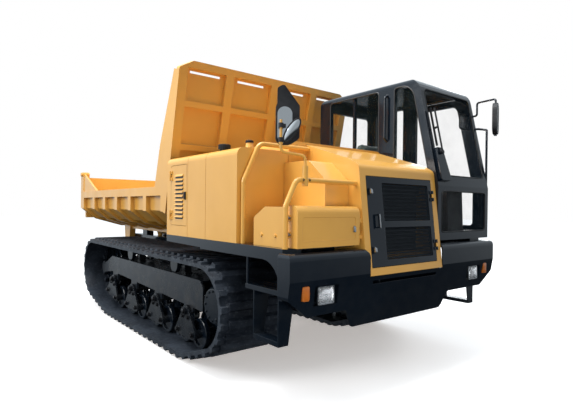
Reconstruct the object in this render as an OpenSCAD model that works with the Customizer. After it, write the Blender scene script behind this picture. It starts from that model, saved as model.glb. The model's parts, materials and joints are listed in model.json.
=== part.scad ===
// Tracked dump carrier: rubber tracks on rocking bogies, a nose hood, a glazed cab and a tipping bed.
// Millimetres. The machine's front faces -Y, its left side is +X and +Z is up.
// Names that end in _y count backwards from the bumper face, names that end in _z up from the ground.

/* [Overall] */
// Width over the outer edges of the two tracks
overall_w = 3012; // [2960:2:3200]
// Length from the bumper face to the back of the dump bed
overall_l = 6200; // [6000:10:6600]

/* [Track belts] */
// Width of one rubber belt
belt_w = 800; // [740:5:840]
// Thickness of the belt without its lugs
belt_t = 35; // [28:1:42]
// Height of a ground lug
lug_h = 45; // [32:1:52]
// Spacing of the ground lugs along the belt
lug_pitch = 150; // [130:1:180]
// Length of a lug along the belt where it leaves the belt
lug_base = 92; // [70:1:110]
// Length of a lug along the belt at its top
lug_top = 56; // [40:1:68]
// Length of the lower step at each end of a lug
lug_end = 80; // [40:1:140]
// How far the end step of a lug lies below its top
lug_step = 20; // [5:1:26]
// Height of the guide teeth inside the belt
guide_h = 70; // [40:1:80]
// Width of one row of guide teeth
guide_w = 40; // [30:1:44]
// Clear width between the two rows of guide teeth
guide_gap = 140; // [130:1:160]

/* [Running gear] */
// Distance from the bumper face to the sprocket shaft
sprocket_y = 1400; // [1380:5:1440]
// Distance from the sprocket shaft to the idler shaft
wheelbase = 3533; // [3450:5:3620]
// Height of the sprocket and idler shafts over the ground
shaft_z = 620; // [605:1:630]
// Radius of the sprocket teeth and of the idler rim
rim_r = 394; // [380:1:400]
// Width of the sprocket disc
sprocket_w = 100; // [70:1:110]
// Number of sprocket teeth
sprocket_teeth = 16; // [12:1:20]
// Depth of the sprocket tooth gaps
tooth_h = 46; // [30:1:60]
// Radius of the sprocket hub cover
hub_r = 190; // [165:1:200]
// How far the hub cover stands out from the middle of the belt
hub_reach = 236; // [225:1:260]
// Width of the idler rim
idler_w = 110; // [80:1:120]
// Radius of a road roller
roller_r = 162; // [150:1:168]
// Width of one disc of a road roller
disc_w = 52; // [40:1:54]
// Gap between the two rollers of one bogie
roller_air = 20; // [10:1:30]
// Distance along the ground from the sprocket shaft to the first roller
first_roller = 401; // [395:1:430]
// Distance along the ground from the last roller on the ground to the idler shaft
last_roller = 675; // [660:1:720]
// Height of a bogie pivot over its two axles
rocker_h = 228; // [200:1:250]
// Radius of a roller axle
axle_r = 30; // [25:1:35]
// Radius of a bogie pivot shaft
pivot_r = 40; // [32:1:45]
// Radius of a carrier roller
carrier_r = 95; // [85:1:100]
// Distance from the sprocket shaft to the first carrier roller
carrier_front = 1040; // [1000:10:1100]
// Distance from the first to the second carrier roller
carrier_pitch = 1440; // [1380:10:1500]
// Thickness of a track frame plate
frame_t = 25; // [20:1:30]
// Height of the track frame plates above the ground at their top edge
frame_top_z = 830; // [800:5:845]
// Height of the lower edge of the track frame plates
frame_low_z = 600; // [570:5:620]

/* [Chassis] */
// Height of the top of the chassis beams
chassis_z = 1100; // [1080:5:1120]
// Height of a chassis beam
beam_h = 300; // [270:5:320]
// Width of a chassis beam
beam_w = 140; // [110:2:150]
// Distance between the middles of the two chassis beams
beam_gauge = 980; // [950:5:1000]
// Distance from the back of the bed to the bed hinge
hinge_back = 490; // [440:5:560]
// How far the bed hinge lies below the chassis top
hinge_drop = 115; // [100:1:140]
// Radius of the bed hinge pins
hinge_r = 45; // [35:1:50]

/* [Deck and front] */
// Width of the deck over its side skirts
deck_w = 2900; // [2860:2:2940]
// Height of the deck plate
deck_z = 1290; // [1270:5:1310]
// Length of the deck from the bumper face
deck_l = 2253; // [2220:2:2280]
// Height of the deck skirt
skirt_h = 100; // [80:1:110]
// Thickness of the deck and skirt plates
plate_t = 12; // [8:1:16]
// Depth of the bumper behind its face
bumper_d = 150; // [120:2:160]
// Height of the bumper's lower edge
bumper_low_z = 766; // [740:2:800]
// Height of the fold across the bumper face
bumper_fold_z = 1052; // [1045:1:1060]
// Radius of the bumper's top edge
bumper_edge_r = 55; // [30:1:60]
// Height of the belly guard's lower edge
guard_low_z = 600; // [560:5:640]
// Radius of the fender arch
arch_r = 220; // [180:5:240]
// Width of the front leg of the fender
fender_leg = 148; // [130:2:160]
// Height of the lower boarding step
step_low_z = 520; // [480:5:560]
// Height of the upper boarding step
step_high_z = 960; // [940:5:980]

/* [Hood] */
// Distance from the centreline to the right side of the hood nose
hood_right = 650; // [630:2:670]
// Distance from the centreline to the left side of the hood
hood_left = 475; // [460:1:478]
// How far the nose reaches below the deck
nose_drop = 262; // [250:1:270]
// Height of the nose face above the deck
nose_h = 700; // [680:5:720]
// How far the nose face leans back, in degrees
nose_lean = 6.6; // [4:0.2:8]
// Height of the hood top above the deck
hood_h = 960; // [930:5:990]
// Distance from the bumper face to where the hood top becomes level
hood_rise_y = 880; // [850:5:920]
// Thickness of the hood and housing sheets
sheet_t = 8; // [5:1:10]
// Width of the shoulder beside the nose
shoulder_w = 280; // [260:2:300]
// Distance from the bumper face to the front of the shoulder
shoulder_y = 233; // [228:1:260]
// Height of the shoulder above the deck
shoulder_h = 740; // [700:5:760]
// Height of the sloped front of the shoulder
shoulder_slope = 180; // [140:5:220]
// Width of the grille door
grille_w = 975; // [940:5:990]
// Height of the grille door
grille_h = 810; // [780:5:820]
// Thickness of the grille door
grille_t = 30; // [24:1:36]
// Width of the plain band beside the grille panels
grille_band = 205; // [160:5:240]
// Number of bars across the grille panels
grille_bars = 20; // [10:1:26]

/* [Side housing] */
// Width of the side housing
house_w = 576; // [560:2:580]
// Distance from the bumper face to the front of the side housing
house_y = 805; // [800:1:830]
// Height of the side housing above the deck
house_h = 850; // [820:5:880]
// Radius of the housing's outer top edge
house_r = 70; // [40:2:90]
// Length of the louvre door
louver_door_w = 378; // [350:2:400]
// Height of the louvre door
louver_door_h = 650; // [600:5:680]
// Number of louvres
louver_n = 11; // [6:1:14]
// Length of the tool box behind its cover
box_l = 415; // [380:5:440]
// Height of the tool box
box_h = 325; // [300:5:335]
// Depth of the tool box cover
cover_d = 165; // [150:1:166]
// Radius of the cover's top edge
cover_r = 60; // [30:2:80]

/* [Cab] */
// Distance from the bumper face to the front of the cab
cab_y = 60; // [50:1:80]
// Length of the cab
cab_l = 1760; // [1720:5:1800]
// Width of the cab
cab_w = 1000; // [970:2:1005]
// Height of the cab above the deck
cab_h = 1720; // [1680:5:1760]
// Height above the deck where the windscreen starts to lean
cab_knee = 560; // [520:5:600]
// How far the windscreen leans back over its height
cab_lean = 258; // [220:2:290]
// Thickness of the cab posts
post_t = 50; // [40:1:56]
// Thickness of the glass
glass_t = 6; // [4:0.5:8]
// Length of the cab door opening along its sill
door_l = 950; // [920:5:970]
// Height of the seat cushion's top above the deck
seat_h = 585; // [560:5:610]
// Height of the seat back
seat_back_h = 560; // [520:5:600]

/* [Dump bed] */
// Width over the bed's ribs
bed_w = 2700; // [2660:2:2740]
// Gap between the deck and the foot of the headboard
bed_gap = 306; // [290:2:340]
// Height of the bed floor above the chassis
floor_h = 300; // [285:1:320]
// Height of the bed sills above the chassis
sill_h = 95; // [85:1:100]
// Height of the bed rail's top above the floor
side_h = 445; // [420:5:470]
// Height of the side's vertical part under the rail
side_drop = 295; // [270:5:310]
// Height of the bed rail
rail_h = 112; // [95:1:125]
// How far the ribs stand out from the bed sheets
rib_d = 60; // [45:1:65]
// Width of a bed rib
rib_w = 110; // [90:2:130]
// Thickness of the bed sheets
bed_t = 12; // [8:1:16]
// Height of the headboard's top above the floor
headboard_h = 1873; // [1800:5:1900]
// How far the headboard leans forward, in degrees
headboard_lean = 12; // [10:0.5:13]
// Height of the rear posts above the floor
post_h = 790; // [760:5:820]
// Radius of the hoist shafts
hoist_pin_r = 35; // [28:1:40]
// Distance from the bed hinge to both hoist shafts
hoist_arm = 800; // [780:5:820]
// Radius of the hoist rod
hoist_rod_r = 60; // [45:1:65]

/* [Fits] */
// Gap between a wheel and the belt
run_gap = 0.6; // [0.3:0.1:0.9]
// Gap between a shaft and its bore
pin_gap = 0.4; // [0.2:0.1:0.8]
// Gap between a pane and its frame
pane_gap = 0.3; // [0.2:0.1:0.8]
// Gap round a door or cover
door_gap = 4; // [2:0.5:6]
// Gap between the bed and the chassis pads at rest
rest_gap = 0.4; // [0.3:0.1:0.8]

/* [Hidden] */
$fn = 48;
RIGHT = -1;
LEFT = 1;
ROLLERS = [1, 2, 3, 4, 5, 6, 7, 8];
CARRIERS = [1, 2];

// Colours
yellow = [0.93, 0.66, 0.27];
black = [0.09, 0.10, 0.12];
steel_grey = [0.29, 0.32, 0.35];
rubber_grey = [0.17, 0.17, 0.18];
bright = [0.75, 0.76, 0.77];
clear_glass = [0.62, 0.72, 0.73];
amber = [0.80, 0.42, 0.12];
seat_green = [0.30, 0.38, 0.37];

// Outline helpers: points are [y, z] or [x, z] pairs

function turned(v, a) = [v.x * cos(a) - v.y * sin(a), v.x * sin(a) + v.y * cos(a)];
function unit(v) = v / norm(v);
function heading(v) = atan2(v.y, v.x);
function up_turn(from, to) = to < from ? to - from + 360 : to - from;
function pick(list_or_one, i) = is_list(list_or_one) ? list_or_one[i] : list_or_one;

// Arc that replaces the corner b between a and c
function corner(a, b, c, r, steps = 6) =
  r <= 0 ? [b] :
  let (u = unit(a - b), v = unit(c - b))
  let (half = acos(u * v) / 2)
  let (mid = b + unit(u + v) * r / sin(half))
  let (start = b + u * r / tan(half) - mid)
  let (turn = (cross(u, v) > 0 ? -1 : 1) * (180 - 2 * half))
  [for (i = [0 : steps]) mid + turned(start, turn * i / steps)];

// Outline with each corner rounded by its own radius
function rounded(pts, radii) =
  let (n = len(pts))
  [for (i = [0 : n - 1]) each corner(pts[(i + n - 1) % n], pts[i], pts[(i + 1) % n], pick(radii, i))];

// Rectangle from one corner to the other, with rounded corners
function panel(a, b, r) = rounded([a, [b.x, a.y], b, [a.x, b.y]], r);

// Rim section between two corners, with its outer edges cut by c
function chamfered(a, b, c) = [a, [b.x - c, a.y], [b.x, a.y + c], [b.x, b.y - c], [b.x - c, b.y], [a.x, b.y]];

// Extrudes an outline of [y, z] points along X, [x, z] points along Y or [x, y] points along Z
module along_x(x0, x1) translate([x0, 0, 0]) rotate([90, 0, 90]) linear_extrude(x1 - x0) children();
module along_y(y0, y1) translate([0, y1, 0]) rotate([90, 0, 0]) linear_extrude(y1 - y0) children();
module along_z(z0, z1) translate([0, 0, z0]) linear_extrude(z1 - z0) children();
module block(a, b) translate(a) cube(b - a);

// Turns a profile of [radius, x] points about the X axis through a point [y, z]
module spun(at) translate([0, at.x, at.y]) rotate([0, 90, 0]) rotate_extrude() children();
// Round bar along X through a point [y, z]
module bar_x(at, r, x0, x1) translate([x0, at.x, at.y]) rotate([0, 90, 0]) cylinder(r = r, h = x1 - x0);

// Places a left-hand piece on either side of the machine
module on_side(side) mirror([side == RIGHT ? 1 : 0, 0, 0]) children();
module both_sides() for (side = [RIGHT, LEFT]) on_side(side) children();

// Round bar from one point to another
module rod(a, b, d) {
  v = b - a;
  translate(a) rotate([0, acos(v.z / norm(v)), atan2(v.y, v.x)]) cylinder(d = d, h = norm(v));
}

// Bent tube through a list of points, with one bend radius
module bent_tube(pts, d, bend) {
  last = len(pts) - 1;
  function trim(i) = i == 0 || i == last ? 0 :
    bend / tan(acos(unit(pts[i - 1] - pts[i]) * unit(pts[i + 1] - pts[i])) / 2);
  for (i = [0 : last - 1]) {
    way = unit(pts[i + 1] - pts[i]);
    rod(pts[i] + way * max(0, trim(i) - 3), pts[i + 1] - way * max(0, trim(i + 1) - 3), d);
  }
  for (i = [1 : last - 1]) elbow(pts[i - 1], pts[i], pts[i + 1], d + 1, bend);
}

// Bend that joins two straight runs of a tube, a little thicker than they are so that they end inside it
module elbow(a, b, c, d, bend) {
  u = unit(a - b);
  v = unit(c - b);
  half = acos(u * v) / 2;
  mid = b + unit(u + v) * bend / sin(half);
  ex = unit(b + u * bend / tan(half) - mid);
  ez = unit(cross(-u, v));
  ey = cross(ez, ex);
  multmatrix([[ex.x, ey.x, ez.x, mid.x], [ex.y, ey.y, ez.y, mid.y], [ex.z, ey.z, ez.z, mid.z]])
    rotate_extrude(angle = 180 - 2 * half) translate([bend, 0]) circle(d = d);
}

// Hinge round the local Z axis: the fixed half is an eye with a leaf on its +X side, the moving half a pin
// between two knuckles with leaves on the -X side. Leaves lie from y0 to y1 and reach as far as said.
knuckle_r = 10;
hinge_pin_r = 6;
hinge_out = 12;
module hinge_eye(reach, y0 = 3, y1 = hinge_out + 1) difference() {
  union() {
    translate([0, 0, -18]) cylinder(r = knuckle_r, h = 36);
    block([2, y0, -18], [reach, y1, 18]);
  }
  translate([0, 0, -20]) cylinder(r = hinge_pin_r + pin_gap, h = 40);
}
module hinge_pin(reach, y0 = 3, y1 = hinge_out + 1) {
  translate([0, 0, -52]) cylinder(r = hinge_pin_r, h = 104);
  for (z = [-52, 20]) translate([0, 0, z]) {
    cylinder(r = knuckle_r, h = 32);
    block([-reach, y0, 0], [-2, y1, 32]);
  }
}

// Belt path: a loop wrapped round circles [y, z, r], counted counter-clockwise

function span_normal(a, b) =
  let (gap = [b.x - a.x, b.y - a.y])
  let (u = unit(gap), k = (a.z - b.z) / norm(gap))
  u * k + [u.y, -u.x] * sqrt(1 - k * k);
function span_length(a, b) = sqrt(pow(norm([b.x - a.x, b.y - a.y]), 2) - pow(a.z - b.z, 2));
function next_of(c, i) = c[(i + 1) % len(c)];
function prev_of(c, i) = c[(i + len(c) - 1) % len(c)];
function arc_start(c, i) = heading(span_normal(prev_of(c, i), c[i]));
function arc_turn(c, i) = up_turn(arc_start(c, i), heading(span_normal(c[i], next_of(c, i))));
function rim_point(circle, a, h) = [circle.x, circle.y] + (circle.z + h) * [cos(a), sin(a)];

// Outline round the circles at a distance h from them
function wrap(c, h, step = 6) =
  [for (i = [0 : len(c) - 1])
    let (from = arc_start(c, i), turn = arc_turn(c, i))
    let (n = max(1, ceil(turn / step)))
    for (k = [0 : n]) rim_point(c[i], from + turn * k / n, h)];

// Lengths of the arcs and spans of the loop at a distance h, and the way to the start of each
function leg_lengths(c, h) =
  [for (i = [0 : len(c) - 1]) each
    [(c[i].z + h) * arc_turn(c, i) * PI / 180, span_length(c[i], next_of(c, i))]];
function sum_to(list, n) = n == 0 ? 0 : list[n - 1] + sum_to(list, n - 1);
function leg_starts(legs) = [for (i = [0 : len(legs)]) sum_to(legs, i)];

// Point of the loop a way s along it, raised by h over the circles
function loop_point(c, starts, s, h) =
  let (k = len([for (q = starts) if (q <= s) 1]) - 1)
  let (i = floor(k / 2), t = s - starts[k])
  k % 2 == 0
    ? rim_point(c[i], arc_start(c, i) + t / (c[i].z + belt_t) * 180 / PI, h)
    : let (n = span_normal(c[i], next_of(c, i))) rim_point(c[i], heading(n), h) + [-n.y, n.x] * t;

// Loop with teeth of the given lengths at their foot and tip
function toothed(c, foot_h, tip_h, foot, tip, slide = 0) =
  let (starts = leg_starts(leg_lengths(c, belt_t)))
  let (total = starts[len(starts) - 1])
  let (n = round(total / lug_pitch))
  let (pitch = total / n)
  [for (i = [0 : n - 1])
    for (p = [[-foot / 2, foot_h], [-tip / 2, tip_h], [tip / 2, tip_h], [foot / 2, foot_h], [pitch / 2, foot_h]])
      loop_point(c, starts, (i * pitch + p.x + slide + total) % total, p.y)];

// Area between an outer and an inner outline
module ring(outer, inner) {
  a = len(outer);
  polygon(concat(outer, inner), [[for (i = [0 : a - 1]) i], [for (i = [0 : len(inner) - 1]) a + i]]);
}

// Derived values of the running gear, with x counted from the middle of a belt

track_x = (overall_w - belt_w) / 2;
idler_y = sprocket_y + wheelbase;
roller_z = lug_h + belt_t + run_gap + roller_r;
roller_step = 2 * roller_r + roller_air;
bogie_pitch = (wheelbase - first_roller - last_roller) / 3;
sprocket_at = [sprocket_y, shaft_z];
idler_at = [idler_y, shaft_z];
ground_first = [sprocket_y + first_roller, roller_z, roller_r + run_gap];
ground_last = [idler_y - last_roller, roller_z, roller_r + run_gap];
belt_circles = [
  [sprocket_y, shaft_z, rim_r + run_gap], ground_first, ground_last, [idler_y, shaft_z, rim_r + run_gap]
];
ramp = heading(span_normal(ground_last, belt_circles[3])) + 90;
disc_in = guide_gap / 2 + guide_w + 8;
disc_out = disc_in + disc_w;
frame_in = disc_out + 14;
frame_out = frame_in + frame_t;
rocker_in = frame_out + 12;
rocker_out = rocker_in + frame_t;
carrier_z = shaft_z + rim_r - carrier_r;
beam_x = beam_gauge / 2;
beam_low_z = chassis_z - beam_h;

// Axles and pivot of bogie b, from 0 at the front: the last one is rocked up onto the belt's ramp
function bogie_turn(b) = b == 3 ? ramp : 0;
function bogie_axle(b, k) =
  [ground_first.x + b * bogie_pitch, roller_z] + turned([k * roller_step, 0], bogie_turn(b));
function bogie_pivot(b) =
  (bogie_axle(b, 0) + bogie_axle(b, 1)) / 2 + turned([0, rocker_h], bogie_turn(b));
function roller_at(i) = bogie_axle(floor((i - 1) / 2), (i - 1) % 2);
function carrier_at(i) = [sprocket_y + carrier_front + (i - 1) * carrier_pitch, carrier_z];

// Moves a piece drawn round the middle of a belt to its side, and the whole machine over its origin
module at_track(side) homed() on_side(side) translate([track_x, 0, 0]) children();
mirror_front = -105;
home_y = (overall_l + mirror_front) / 2;
module homed() translate([0, -home_y, 0]) children();

// Lugged belt with lower lug ends and two rows of guide teeth
module track_belt(side) color(rubber_grey) at_track(side) {
  inner = wrap(belt_circles, 0);
  crown = belt_w / 2 - lug_end;
  low = belt_t + lug_h - lug_step;
  along_x(-crown, crown) ring(toothed(belt_circles, belt_t, belt_t + lug_h, lug_base, lug_top), inner);
  for (x = [-belt_w / 2, crown])
    along_x(x, x + lug_end)
      ring(toothed(belt_circles, belt_t, low, lug_base - 16, lug_top - 6, lug_step), inner);
  for (x = [-guide_gap / 2 - guide_w, guide_gap / 2])
    along_x(x, x + guide_w)
      ring(wrap(belt_circles, belt_t / 2), toothed(belt_circles, 0, -guide_h, lug_base - 20, lug_top - 22));
}

// Outline of the sprocket: flat-topped teeth on a round body
function sprocket_outline() =
  let (step = 360 / sprocket_teeth)
  [for (i = [0 : sprocket_teeth - 1])
    for (p = [[-0.33, rim_r - tooth_h], [-0.14, rim_r], [0.14, rim_r], [0.33, rim_r - tooth_h]])
      p.y * [cos((i + p.x) * step), sin((i + p.x) * step)]];

stub_r = 120;
stub_end = hub_reach - 40;
module sprocket(side) color(black) at_track(side) {
  difference() {
    union() {
      translate([0, sprocket_at.x, sprocket_at.y])
        along_x(-sprocket_w / 2, sprocket_w / 2) polygon(sprocket_outline());
      spun(sprocket_at) polygon(rounded(
        [[0, 0], [hub_r + 40, 0], [hub_r + 40, 75], [hub_r, 90], [hub_r, hub_reach - 22],
        [hub_r - 22, hub_reach], [0, hub_reach]],
        [0, 0, 10, 10, 10, 10, 0]));
    }
    bar_x(sprocket_at, stub_r + pin_gap, -sprocket_w, stub_end + pin_gap);
    for (a = [0 : 60 : 300])
      bar_x(sprocket_at + 285 * [cos(a), sin(a)], 34, -sprocket_w, sprocket_w);
  }
  for (a = [0 : 30 : 330])
    bar_x(sprocket_at + (hub_r - 45) * [cos(a), sin(a)], 13, hub_reach - 1, hub_reach + 10);
}

module idler(side) color(black) at_track(side) difference() {
  spun(idler_at) {
    polygon(chamfered([rim_r - 52, -idler_w / 2], [rim_r, idler_w / 2], 7));
    translate([80, -14]) square([rim_r - 100, 28]);
    translate([pivot_r + pin_gap, -80]) square([50, 160]);
  }
  for (a = [0 : 60 : 300])
    bar_x(idler_at + 225 * [cos(a), sin(a)], 60, -idler_w, idler_w);
}

// Twin-disc roller on a hub tube, which turns on a fixed axle
module road_roller(side, i) color(black) at_track(side) spun(roller_at(i)) {
  translate([axle_r + pin_gap, -disc_out - 4]) square([16, 2 * disc_out + 8]);
  for (x = [-disc_out, disc_in]) {
    polygon(chamfered([roller_r - 34, x], [roller_r, x + disc_w], 5));
    translate([axle_r + 10, x + disc_w / 2 - 10]) square([roller_r - axle_r - 30, 20]);
  }
}

carrier_shaft_r = 20;
// Pair of small discs on a turning shaft that holds up the top of the belt
module carrier_roller(side, i) color(black) at_track(side) spun(carrier_at(i)) {
  translate([0, -disc_out]) square([carrier_shaft_r, 2 * disc_out]);
  for (x = [-disc_out, disc_in])
    polygon(chamfered([0, x], [carrier_r, x + disc_w], 5));
}

// Triangular plates, axles and pivot shafts of the four bogies on each side
module bogie_rockers() color(steel_grey) for (side = [RIGHT, LEFT]) at_track(side) for (b = [0 : 3]) {
  a = bogie_axle(b, 0);
  c = bogie_axle(b, 1);
  p = bogie_pivot(b);
  for (x = [-rocker_out, rocker_in])
    along_x(x, x + frame_t)
      polygon(wrap([[a.x, a.y, 58], [c.x, c.y, 58], [p.x, p.y, 64]], 0, 15));
  for (q = [a, c]) {
    bar_x(q, axle_r, -rocker_out - 16, rocker_out + 16);
    for (x = [-rocker_in, disc_out + 4 + pin_gap])
      bar_x(q, axle_r + 18, x, x + rocker_in - disc_out - 4 - pin_gap);
  }
  bar_x(p, pivot_r, -rocker_out - 26, rocker_out + 26);
}

// Side plates with a tab at every bogie pivot, a top web, the idler fork and the drive stub
drive_r = 150;
web_z = frame_top_z - 25;
module track_frames() color(steel_grey) for (side = [RIGHT, LEFT]) at_track(side) {
  web_y0 = sprocket_y + rim_r + 6;
  web_y1 = idler_y - rim_r - 6;
  for (x = [-frame_out, frame_in])
    along_x(x, x + frame_t) difference() {
      union() {
        polygon(rounded([
          [sprocket_y + hub_r + 60, frame_low_z - 90], [web_y1, frame_low_z],
          [idler_y - 60, shaft_z - 70], [idler_y - 60, shaft_z + 70], [web_y1, frame_top_z],
          [sprocket_y + hub_r + 130, frame_top_z], [sprocket_y + hub_r + 60, frame_top_z - 70]],
          [20, 60, 0, 0, 90, 60, 30]));
        translate(idler_at) circle(r = 92);
        for (b = [0 : 3]) frame_tab(bogie_pivot(b));
        if (x < 0) drive_arm();
      }
      for (b = [0 : 3]) translate(bogie_pivot(b)) circle(r = pivot_r + pin_gap);
    }
  block([-frame_in, web_y0, web_z - frame_t], [frame_in, web_y1, web_z]);
  for (y = [web_y0 + 60, (web_y0 + web_y1) / 2, web_y1 - 90])
    block([-frame_in, y, frame_low_z + 40], [frame_in, y + frame_t, web_z - frame_t]);
  bar_x(idler_at, pivot_r, -frame_out, frame_out);
  bar_x(sprocket_at, drive_r, -frame_in, -sprocket_w / 2 - 4);
  bar_x(sprocket_at, stub_r, -frame_in, stub_end);
  for (i = CARRIERS) carrier_bracket(carrier_at(i));
}

// Tab that hangs from a track frame plate to a bogie pivot
module frame_tab(p) {
  translate(p) circle(r = 62);
  translate([p.x - 105, p.y]) square([210, frame_low_z + 60 - p.y]);
}

module drive_arm() {
  translate(sprocket_at) circle(r = 210);
  translate([sprocket_y, shaft_z - 120]) square([hub_r + 200, 240]);
}

module carrier_bracket(p) difference() {
  along_x(-45, 45) {
    translate(p) circle(r = 34);
    translate([p.x - 60, web_z - 5]) square([120, 20]);
    translate([p.x - 34, web_z]) square([68, p.y - web_z]);
  }
  bar_x(p, carrier_shaft_r + pin_gap, -60, 60);
}

// Derived values of the chassis, the hoist and the bed hinge

hinge_at = [overall_l - hinge_back, chassis_z - hinge_drop];
beam_out = beam_x + beam_w / 2;
beam_in = beam_x - beam_w / 2;
chassis_y = bumper_d;
hinge_boss_r = hinge_r + 50;
leg_in = beam_out + 12;
leg_w = 100;
// The two hoist shafts lie equally far from the bed hinge, so that rod and barrel stay in line as it tips
hoist_rest = 60;
hoist_rise = 12;
function hoist_point(a) = hinge_at + hoist_arm * [-cos(a), sin(a)];
barrel_at = hoist_point(hoist_rise - hoist_rest);
rod_at = hoist_point(hoist_rise);
hoist_x = 230;
cross_y = [sprocket_y + 1010, sprocket_y + 2420];
pad_y = [cross_y[0] + 250, cross_y[1], hinge_at.x - 520];

// Two box beams with cross beams to the track frames, hoist hangers, bed pads and hinge pins
module chassis_frame() color(black) homed() {
  difference() {
    union() {
      both_sides() {
        block([beam_in, chassis_y, beam_low_z], [beam_out, hinge_at.x, chassis_z]);
        bar_x(hinge_at, hinge_boss_r, beam_in, beam_out);
        bar_x(hinge_at, hinge_r, beam_in, leg_in + leg_w + 20);
        hoist_hanger();
        for (y = pad_y)
          block([beam_in + 10, y - 90, chassis_z], [beam_out - 10, y + 90, chassis_z + sill_h - rest_gap]);
        deck_brackets();
      }
      for (y = cross_y)
        block([frame_out - track_x, y - 110, beam_low_z - 230], [track_x - frame_out, y + 110, beam_low_z]);
      for (y = [chassis_y, deck_l, cross_y[1] + 300, hinge_at.x - 260])
        block([-beam_in, y, beam_low_z], [beam_in, y + 140, chassis_z - 60]);
      bar_x(barrel_at, hoist_pin_r, -beam_in - 5, beam_in + 5);
    }
    for (side = [RIGHT, LEFT]) on_side(side)
      for (y = [cross_y[0] - 700, cross_y[1] - 700])
        bar_x([y, beam_low_z + beam_h / 2], 70, beam_in - 1, beam_out + 1);
  }
}

// Plate under each beam that carries the lower hoist shaft
module hoist_hanger()
  along_x(beam_in - 30, beam_in + 5)
    polygon(wrap([[barrel_at.x, barrel_at.y, 70], [barrel_at.x + 230, beam_low_z + 60, 40],
           [barrel_at.x - 330, beam_low_z + 60, 40]], 0, 15));

// Short posts and outriggers from the beams to the deck
bracket_y = [chassis_y + 250, deck_l - 560];
bracket_w = 80;
module deck_brackets() for (y = bracket_y) {
  block([beam_out - 60, y, chassis_z - 10], [beam_out, y + bracket_w, deck_low_z]);
  along_y(y, y + bracket_w) polygon([
    [beam_out, chassis_z - 60], [deck_w / 2 - 60, deck_low_z - 30], [deck_w / 2 - 60, deck_low_z],
    [beam_out - 5, deck_low_z], [beam_out - 5, chassis_z - 60]]);
}

// Deck plates with skirts and front fenders on both sides, open in the middle for the hood
deck_low_z = deck_z - plate_t;
cab_x0 = hood_left + 5;
module deck_platform() color(black) homed() {
  on_side(RIGHT) deck_wing(hood_right, deck_l);
  on_side(LEFT) deck_wing(hood_left, deck_l);
}

module deck_wing(inner_x, back_y) {
  outer_x = deck_w / 2;
  block([inner_x, bumper_d, deck_low_z], [outer_x, back_y, deck_z]);
  block([inner_x, back_y - plate_t, deck_z - skirt_h + 25], [outer_x, back_y, deck_z]);
  along_x(outer_x - plate_t, outer_x) polygon(rounded([
    [fender_y0, deck_z], [fender_y0, fender_low_z], [leg_y, fender_low_z], [leg_y, deck_z - skirt_h],
    [fender_end_y, deck_z - skirt_h], [fender_end_y, deck_z - skirt_h + 15],
    [back_y, deck_z - skirt_h + 25], [back_y, deck_z]],
    [0, 0, 0, arch_r, 0, 0, 0, 0]));
  along_y(fender_y0, fender_y0 + plate_t)
    polygon([[outer_x - 190, fender_low_z], [outer_x, fender_low_z], [outer_x, deck_z], [outer_x - 190, deck_z]]);
}
fender_y0 = bumper_d;
leg_y = fender_leg + 40;
fender_end_y = 1468;
fender_low_z = step_high_z - 70;

// Two hanging steps in the fender arch on each side
step_d = 200;
step_y0 = fender_y0 + plate_t;
step_y1 = step_y0 + 510;
module boarding_steps() color(black) homed() both_sides() {
  x1 = deck_w / 2 - plate_t;
  x0 = x1 - step_d;
  difference() {
    block([x0, step_y0, step_high_z - 40], [x1, step_y1, step_high_z]);
    block([x0 + 12, step_y0 + 12, step_high_z - 50], [x1 - 12, step_y1 - 12, step_high_z - 8]);
    for (y = [step_y0 + 50 : 60 : step_y1 - 60])
      block([x0 + 30, y, step_high_z - 20], [x1 - 30, y + 22, step_high_z + 1]);
  }
  bar_z([x1 - 14, step_y1 - 14], 12, step_high_z - 1, deck_low_z);
  for (y = [step_y0 + 43, step_y0 + 376])
    along_y(y, y + 14)
      polygon([[x0 + 40, step_high_z - 30], [x0 + 100, step_low_z], [x1, step_low_z], [x1, step_high_z - 30]]);
  block([x0 + 100, step_y0 + 43, step_low_z], [x1, step_y0 + 390, step_low_z + 40]);
}
module bar_z(at, r, z0, z1) translate([at.x, at.y, z0]) cylinder(r = r, h = z1 - z0);

// Folded bumper sheet with a notch for the hood nose, lamp pockets and a belly guard
bumper_top_z = deck_z - 28;
bumper_x = overall_w / 2 - 9;
nose_z = deck_z - nose_drop;
fold_back = 45;
notch_x = hood_right - 45;
notch_r = 80;
lamp_at = [1105, bumper_low_z + 155];
lamp_w = 128;
pocket_y = 90;
signal_at = [1330, bumper_low_z + 190];
signal_size = [72, 112];

function bumper_profile(t) = rounded([
  [t, bumper_fold_z], [fold_back + t, bumper_low_z], [fold_back + 40 + t, guard_low_z - 1],
  [bumper_d + 1, guard_low_z - 1], [bumper_d + 1, bumper_top_z - t], [t, bumper_top_z - t]],
  [12, 60, 0, 0, 0, bumper_edge_r]);

module bumper_outline() polygon(rounded([
  [-854, bumper_low_z], [-760, guard_low_z], [560, guard_low_z], [640, bumper_low_z],
  [1289, bumper_low_z], [bumper_x, 918], [bumper_x, bumper_top_z], [hood_left + 5, bumper_top_z],
  [hood_left + 5, nose_z - 5], [-notch_x, nose_z - 5], [-notch_x, bumper_top_z],
  [-bumper_x, bumper_top_z], [-bumper_x, 918], [-1289, bumper_low_z]],
  [40, 60, 60, 40, 30, 40, 30, 0, 0, 0, notch_r, 30, 40, 30]));

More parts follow.
